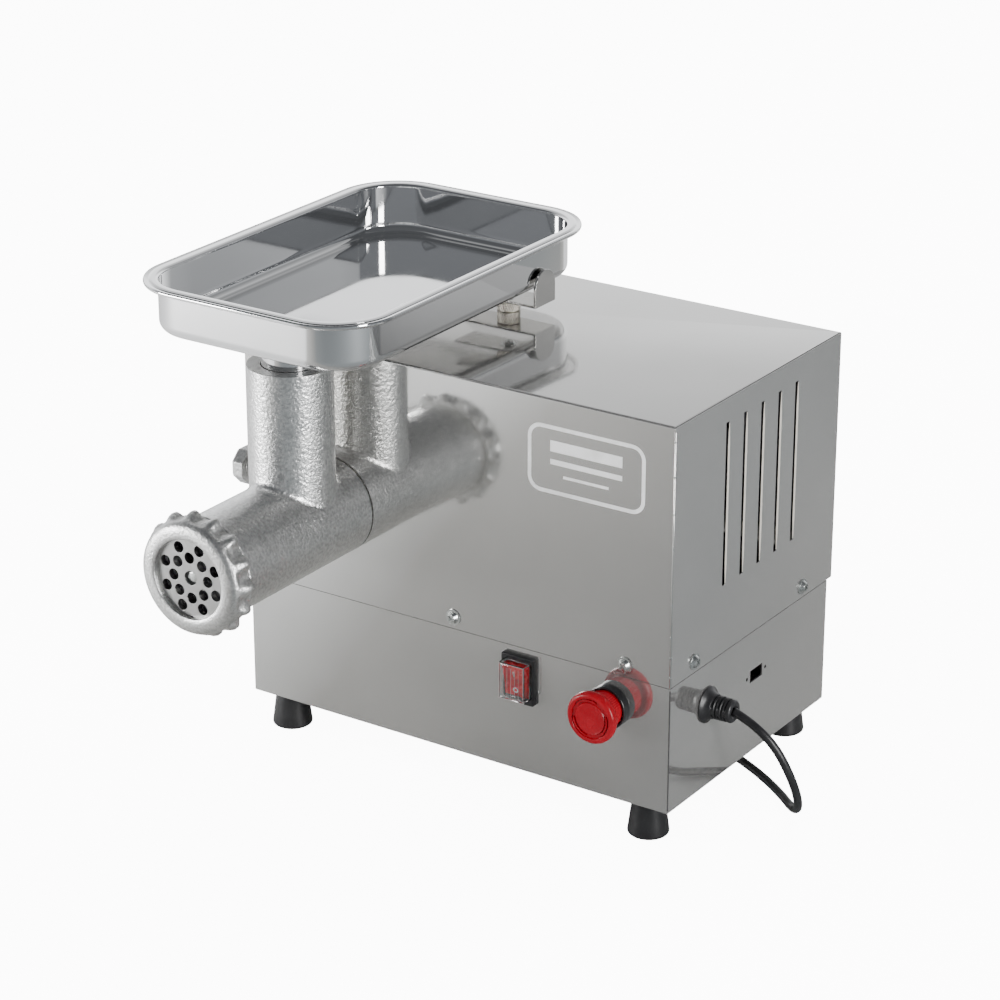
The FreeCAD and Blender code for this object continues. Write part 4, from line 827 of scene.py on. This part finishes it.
def addBadge():
    # an empty frame with three plain bars, printed on the front
    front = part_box("top_cover")[0].y - 0.00003
    middleX, middleZ = badgeSettings["centre"]
    quarter = np.linspace(0, rightAngle, 9)

    def frameLine(wide, tall, corner):
        corners = ((1, 1, 0), (-1, 1, rightAngle), (-1, -1, math.pi), (1, -1, -rightAngle))
        arcs = [np.stack([sideX * (wide / 2 - corner) + corner * np.cos(quarter + start),
                          sideZ * (tall / 2 - corner) + corner * np.sin(quarter + start)], -1)
                for sideX, sideZ, start in corners]
        flat = np.concatenate(arcs) + np.array([middleX, middleZ])
        return np.stack([flat[:, 0], np.full(len(flat), front), flat[:, 1]], -1)

    wide, tall = badgeSettings["size"]
    line, corner = badgeSettings["line"], badgeSettings["corner"]
    lines = np.stack([frameLine(wide, tall, corner),
                      frameLine(wide - 2 * line, tall - 2 * line, corner - line)])
    addPiece("badgeFrame", gridMesh("badgeFrame", lines, closeV=True, smooth=False), "mark", "cabinet")
    for number, (rise, length, thick) in enumerate(badgeSettings["bars"], start=1):
        bar = np.array([[[middleX + side * length / 2, front, middleZ + rise + up * thick / 2]
                         for side in (-1, 1)] for up in (-1, 1)])
        name = "badgeBar%d" % number
        addPiece(name, gridMesh(name, bar, smooth=False), "mark", "cabinet")


slotSettings = {"first": 0.0725, "pitch": 0.0251, "count": 5, "width": 0.0045, "low": 0.182, "high": 0.308,
                "lip": 0.0009}


def addSlotLips():
    # a rolled edge along the back side of each cooling slot, on both side walls,
    # lighter and duller than the sheet: a painted highlight on each slot's back edge
    low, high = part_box("top_cover")
    reach, firstEdge = slotSettings["lip"], low.y + slotSettings["first"] + slotSettings["width"] / 2
    around = np.linspace(0, 2 * math.pi, 11)[:-1]
    heights = np.linspace(slotSettings["low"] + 0.001, slotSettings["high"] - 0.001, 9)
    lips = []
    for wall in (low.x, high.x):
        for number in range(slotSettings["count"]):
            edge = firstEdge + number * slotSettings["pitch"]
            taper = np.interp(heights, heights[[0, 1, -2, -1]], [0.3, 1, 1, 0.3])[:, None]
            rings = np.stack([wall + reach * 0.7 * np.cos(around) * taper,
                              edge - reach * 0.4 + reach * 1.3 * np.sin(around) * taper,
                              np.repeat(heights[:, None], 10, 1)], -1)
            lips.append(gridMesh("lip", rings, closeV=True))
    addPiece("slotLips", joinMeshes("slotLips", lips), "lip", "cabinet")


addHead()
addPan()
addStay()
print("head and pan")
addRocker()
addStopButton()
gland = addGland()
print("controls")
addCornerJoint()
addSlotLips()
addBadge()


# what is inside or behind keeps its own shape

insideParts = {
    "clamp_knob": ("knob", 0.0014), "clamp_screw": ("machined", 0.0), "gearbox_case": ("casting", 0.0),
    "gearbox_lid": ("casting", 0.0), "motor_frame": ("casting", 0.0), "motor_end_shield": ("casting", 0.0),
    "head_socket": ("casting", 0.0), "fan_cowl": ("paint", 0.0), "drive_frame": ("paint", 0.0),
    "capacitor_clip": ("paint", 0.0), "run_capacitor": ("ivory", 0.001), "cooling_fan": ("ivory", 0.0),
    "terminal_block": ("ivory", 0.0), "mains_plug": ("black", 0.0005), "plug_pins": ("brass", 0.0004)}


def addInside():
    shapes = {node: copyNode(node.title().replace("_", ""), node, *how)
              for node, how in insideParts.items()}
    for node in ("drive_shaft", "drive_gear", "lay_shaft", "lay_gear", "lay_pinion", "motor_rotor",
                 "motor_pinion", "motor_stator", "drive_bearings", "lay_bearings", "motor_bearings",
                 "socket_bolts", "foot_screws", "plate_key"):
        paint(node, "machined")
    for node in ("stop_locknut", "stop_contacts", "gland_nut"):
        paint(node, "black")
    return shapes


shapes = addInside()


# studio

studioSettings = {
    "size": 12, "floor": 0.85, "glow": 11.0, "backdrop": 11.5, "across": (-1.0, 0.35, 0.0),
    # what polished surfaces see of the floor: darker cards to the right, open studio to the left
    "mirrored": ((-0.60, (0.225, 0.242, 0.25)), (-0.28, (0.26, 0.275, 0.28)),
                 (-0.13, (0.355, 0.355, 0.345)), (0.02, (0.45, 0.445, 0.43)), (0.12, (0.50, 0.495, 0.48)),
                 (0.22, (0.93, 0.94, 0.94)), (0.50, (1.0, 1.0, 1.0))),
    # how bright the room is by height: a lit wall behind that ends a little above the horizon
    "towards": (-0.62, 0.78, 0.0), "turnedAway": 0.1, "facing": 0.75,
    "dim": (0.25, 0.262, 0.28), "bright": (2.1, 2.13, 2.17),
    "heights": ((0.29, 1.0), (0.36, 0.60), (0.47, 0.40), (1.0, 0.45))}


def colourRamp(tree, source, stops):
    # stops are (position, colour) pairs
    ramp = tree.nodes.new("ShaderNodeValToRGB")
    while len(ramp.color_ramp.elements) < len(stops):
        ramp.color_ramp.elements.new(1.0)
    for element, (position, colour) in zip(ramp.color_ramp.elements, stops):
        element.position = position
        element.color = (*colour, 1)
    tree.links.new(source, ramp.inputs["Fac"])
    return ramp.outputs["Color"]


def dotWith(tree, place, direction):
    # how far a place lies along a direction
    product = tree.nodes.new("ShaderNodeVectorMath")
    product.operation = "DOT_PRODUCT"
    product.inputs[1].default_value = direction
    tree.links.new(place, product.inputs[0])
    return product.outputs["Value"]


def addFloor():
    # plain and pale to the camera, graded to what reflects it
    mesh = bpy.data.meshes.new("studioFloor")
    size = studioSettings["size"]
    mesh.from_pydata([(-size, -size, 0), (size, -size, 0), (size, size, 0), (-size, size, 0)], [],
                     [(0, 1, 2, 3)])
    material, tree, shader = startMaterial("studioFloor", Roughness=0.9, Specular_IOR_Level=0.1)
    place = tree.nodes.new("ShaderNodeTexCoord").outputs["Object"]
    stops = studioSettings["mirrored"]
    first, last = stops[0][0], stops[-1][0]
    share = spread(tree, dotWith(tree, place, studioSettings["across"]), 0, 1, first, last)
    mirrored = colourRamp(tree, share, [((at - first) / (last - first), colour) for at, colour in stops])
    path = tree.nodes.new("ShaderNodeLightPath")
    mix = tree.nodes.new("ShaderNodeMix")
    mix.data_type = "RGBA"
    mix.inputs["A"].default_value = (studioSettings["floor"],) * 3 + (1,)
    tree.links.new(mirrored, mix.inputs["B"])
    tree.links.new(path.outputs["Is Glossy Ray"], mix.inputs["Factor"])
    tree.links.new(mix.outputs["Result"], shader.inputs["Base Color"])
    glow = tree.nodes.new("ShaderNodeMath")
    glow.operation = "MULTIPLY"
    glow.inputs[1].default_value = studioSettings["glow"]
    tree.links.new(path.outputs["Is Camera Ray"], glow.inputs[0])
    shader.inputs["Emission Color"].default_value = (1, 1, 1, 1)
    tree.links.new(glow.outputs["Value"], shader.inputs["Emission Strength"])
    mesh.materials.append(material)
    floor = addObject("studioFloor", mesh)


def addWorld():
    world = bpy.data.worlds.new("studio")
    bpy.context.scene.world = world
    world.use_nodes = True
    tree = world.node_tree
    place = tree.nodes.new("ShaderNodeTexCoord").outputs["Generated"]
    towards = spread(tree, dotWith(tree, place, studioSettings["towards"]), 0, 1,
                     studioSettings["turnedAway"], studioSettings["facing"])
    around = colourRamp(tree, towards, [(0.0, studioSettings["dim"]), (1.0, studioSettings["bright"])])
    height = dotWith(tree, place, (0, 0, 1))
    upward = colourRamp(tree, height, [(at, (part,) * 3) for at, part in studioSettings["heights"]])
    product = tree.nodes.new("ShaderNodeVectorMath")
    product.operation = "MULTIPLY"
    tree.links.new(around, product.inputs[0])
    tree.links.new(upward, product.inputs[1])
    # the camera itself sees one pale backdrop from the floor on up
    path = tree.nodes.new("ShaderNodeLightPath")
    mix = tree.nodes.new("ShaderNodeMix")
    mix.data_type = "RGBA"
    mix.inputs["B"].default_value = (studioSettings["backdrop"],) * 3 + (1,)
    tree.links.new(product.outputs["Vector"], mix.inputs["A"])
    tree.links.new(path.outputs["Is Camera Ray"], mix.inputs["Factor"])
    tree.links.new(mix.outputs["Result"], tree.nodes["Background"].inputs["Color"])


# the first two only lift the shadows; the two strips also show as bright bands in the metal
lights = {"key": {"place": (-2.0, -1.6, 2.4), "size": (1.5, 1.5), "power": 60, "mirrored": False},
          "back": {"place": (0.2, 2.4, 2.4), "size": (2.0, 2.0), "power": 60, "mirrored": False},
          "leftStrip": {"place": (-1.35, -1.25, 0.20), "size": (0.7, 0.40), "power": 22, "mirrored": True},
          "rightStrip": {"place": (1.9, -0.45, 0.55), "size": (0.45, 1.1), "power": 42, "mirrored": True}}


def addLights():
    for name, settings in lights.items():
        data = bpy.data.lights.new(name, "AREA")
        data.energy = settings["power"]
        data.shape = "RECTANGLE"
        data.size, data.size_y = settings["size"]
        lamp = addObject(name, data)
        lamp.location = settings["place"]
        lamp.visible_glossy = settings["mirrored"]
        aim = Vector((0, 0, 0.2)) - lamp.location
        lamp.rotation_euler = aim.to_track_quat("-Z", "Y").to_euler()


addFloor()
addWorld()
addLights()
print("studio")
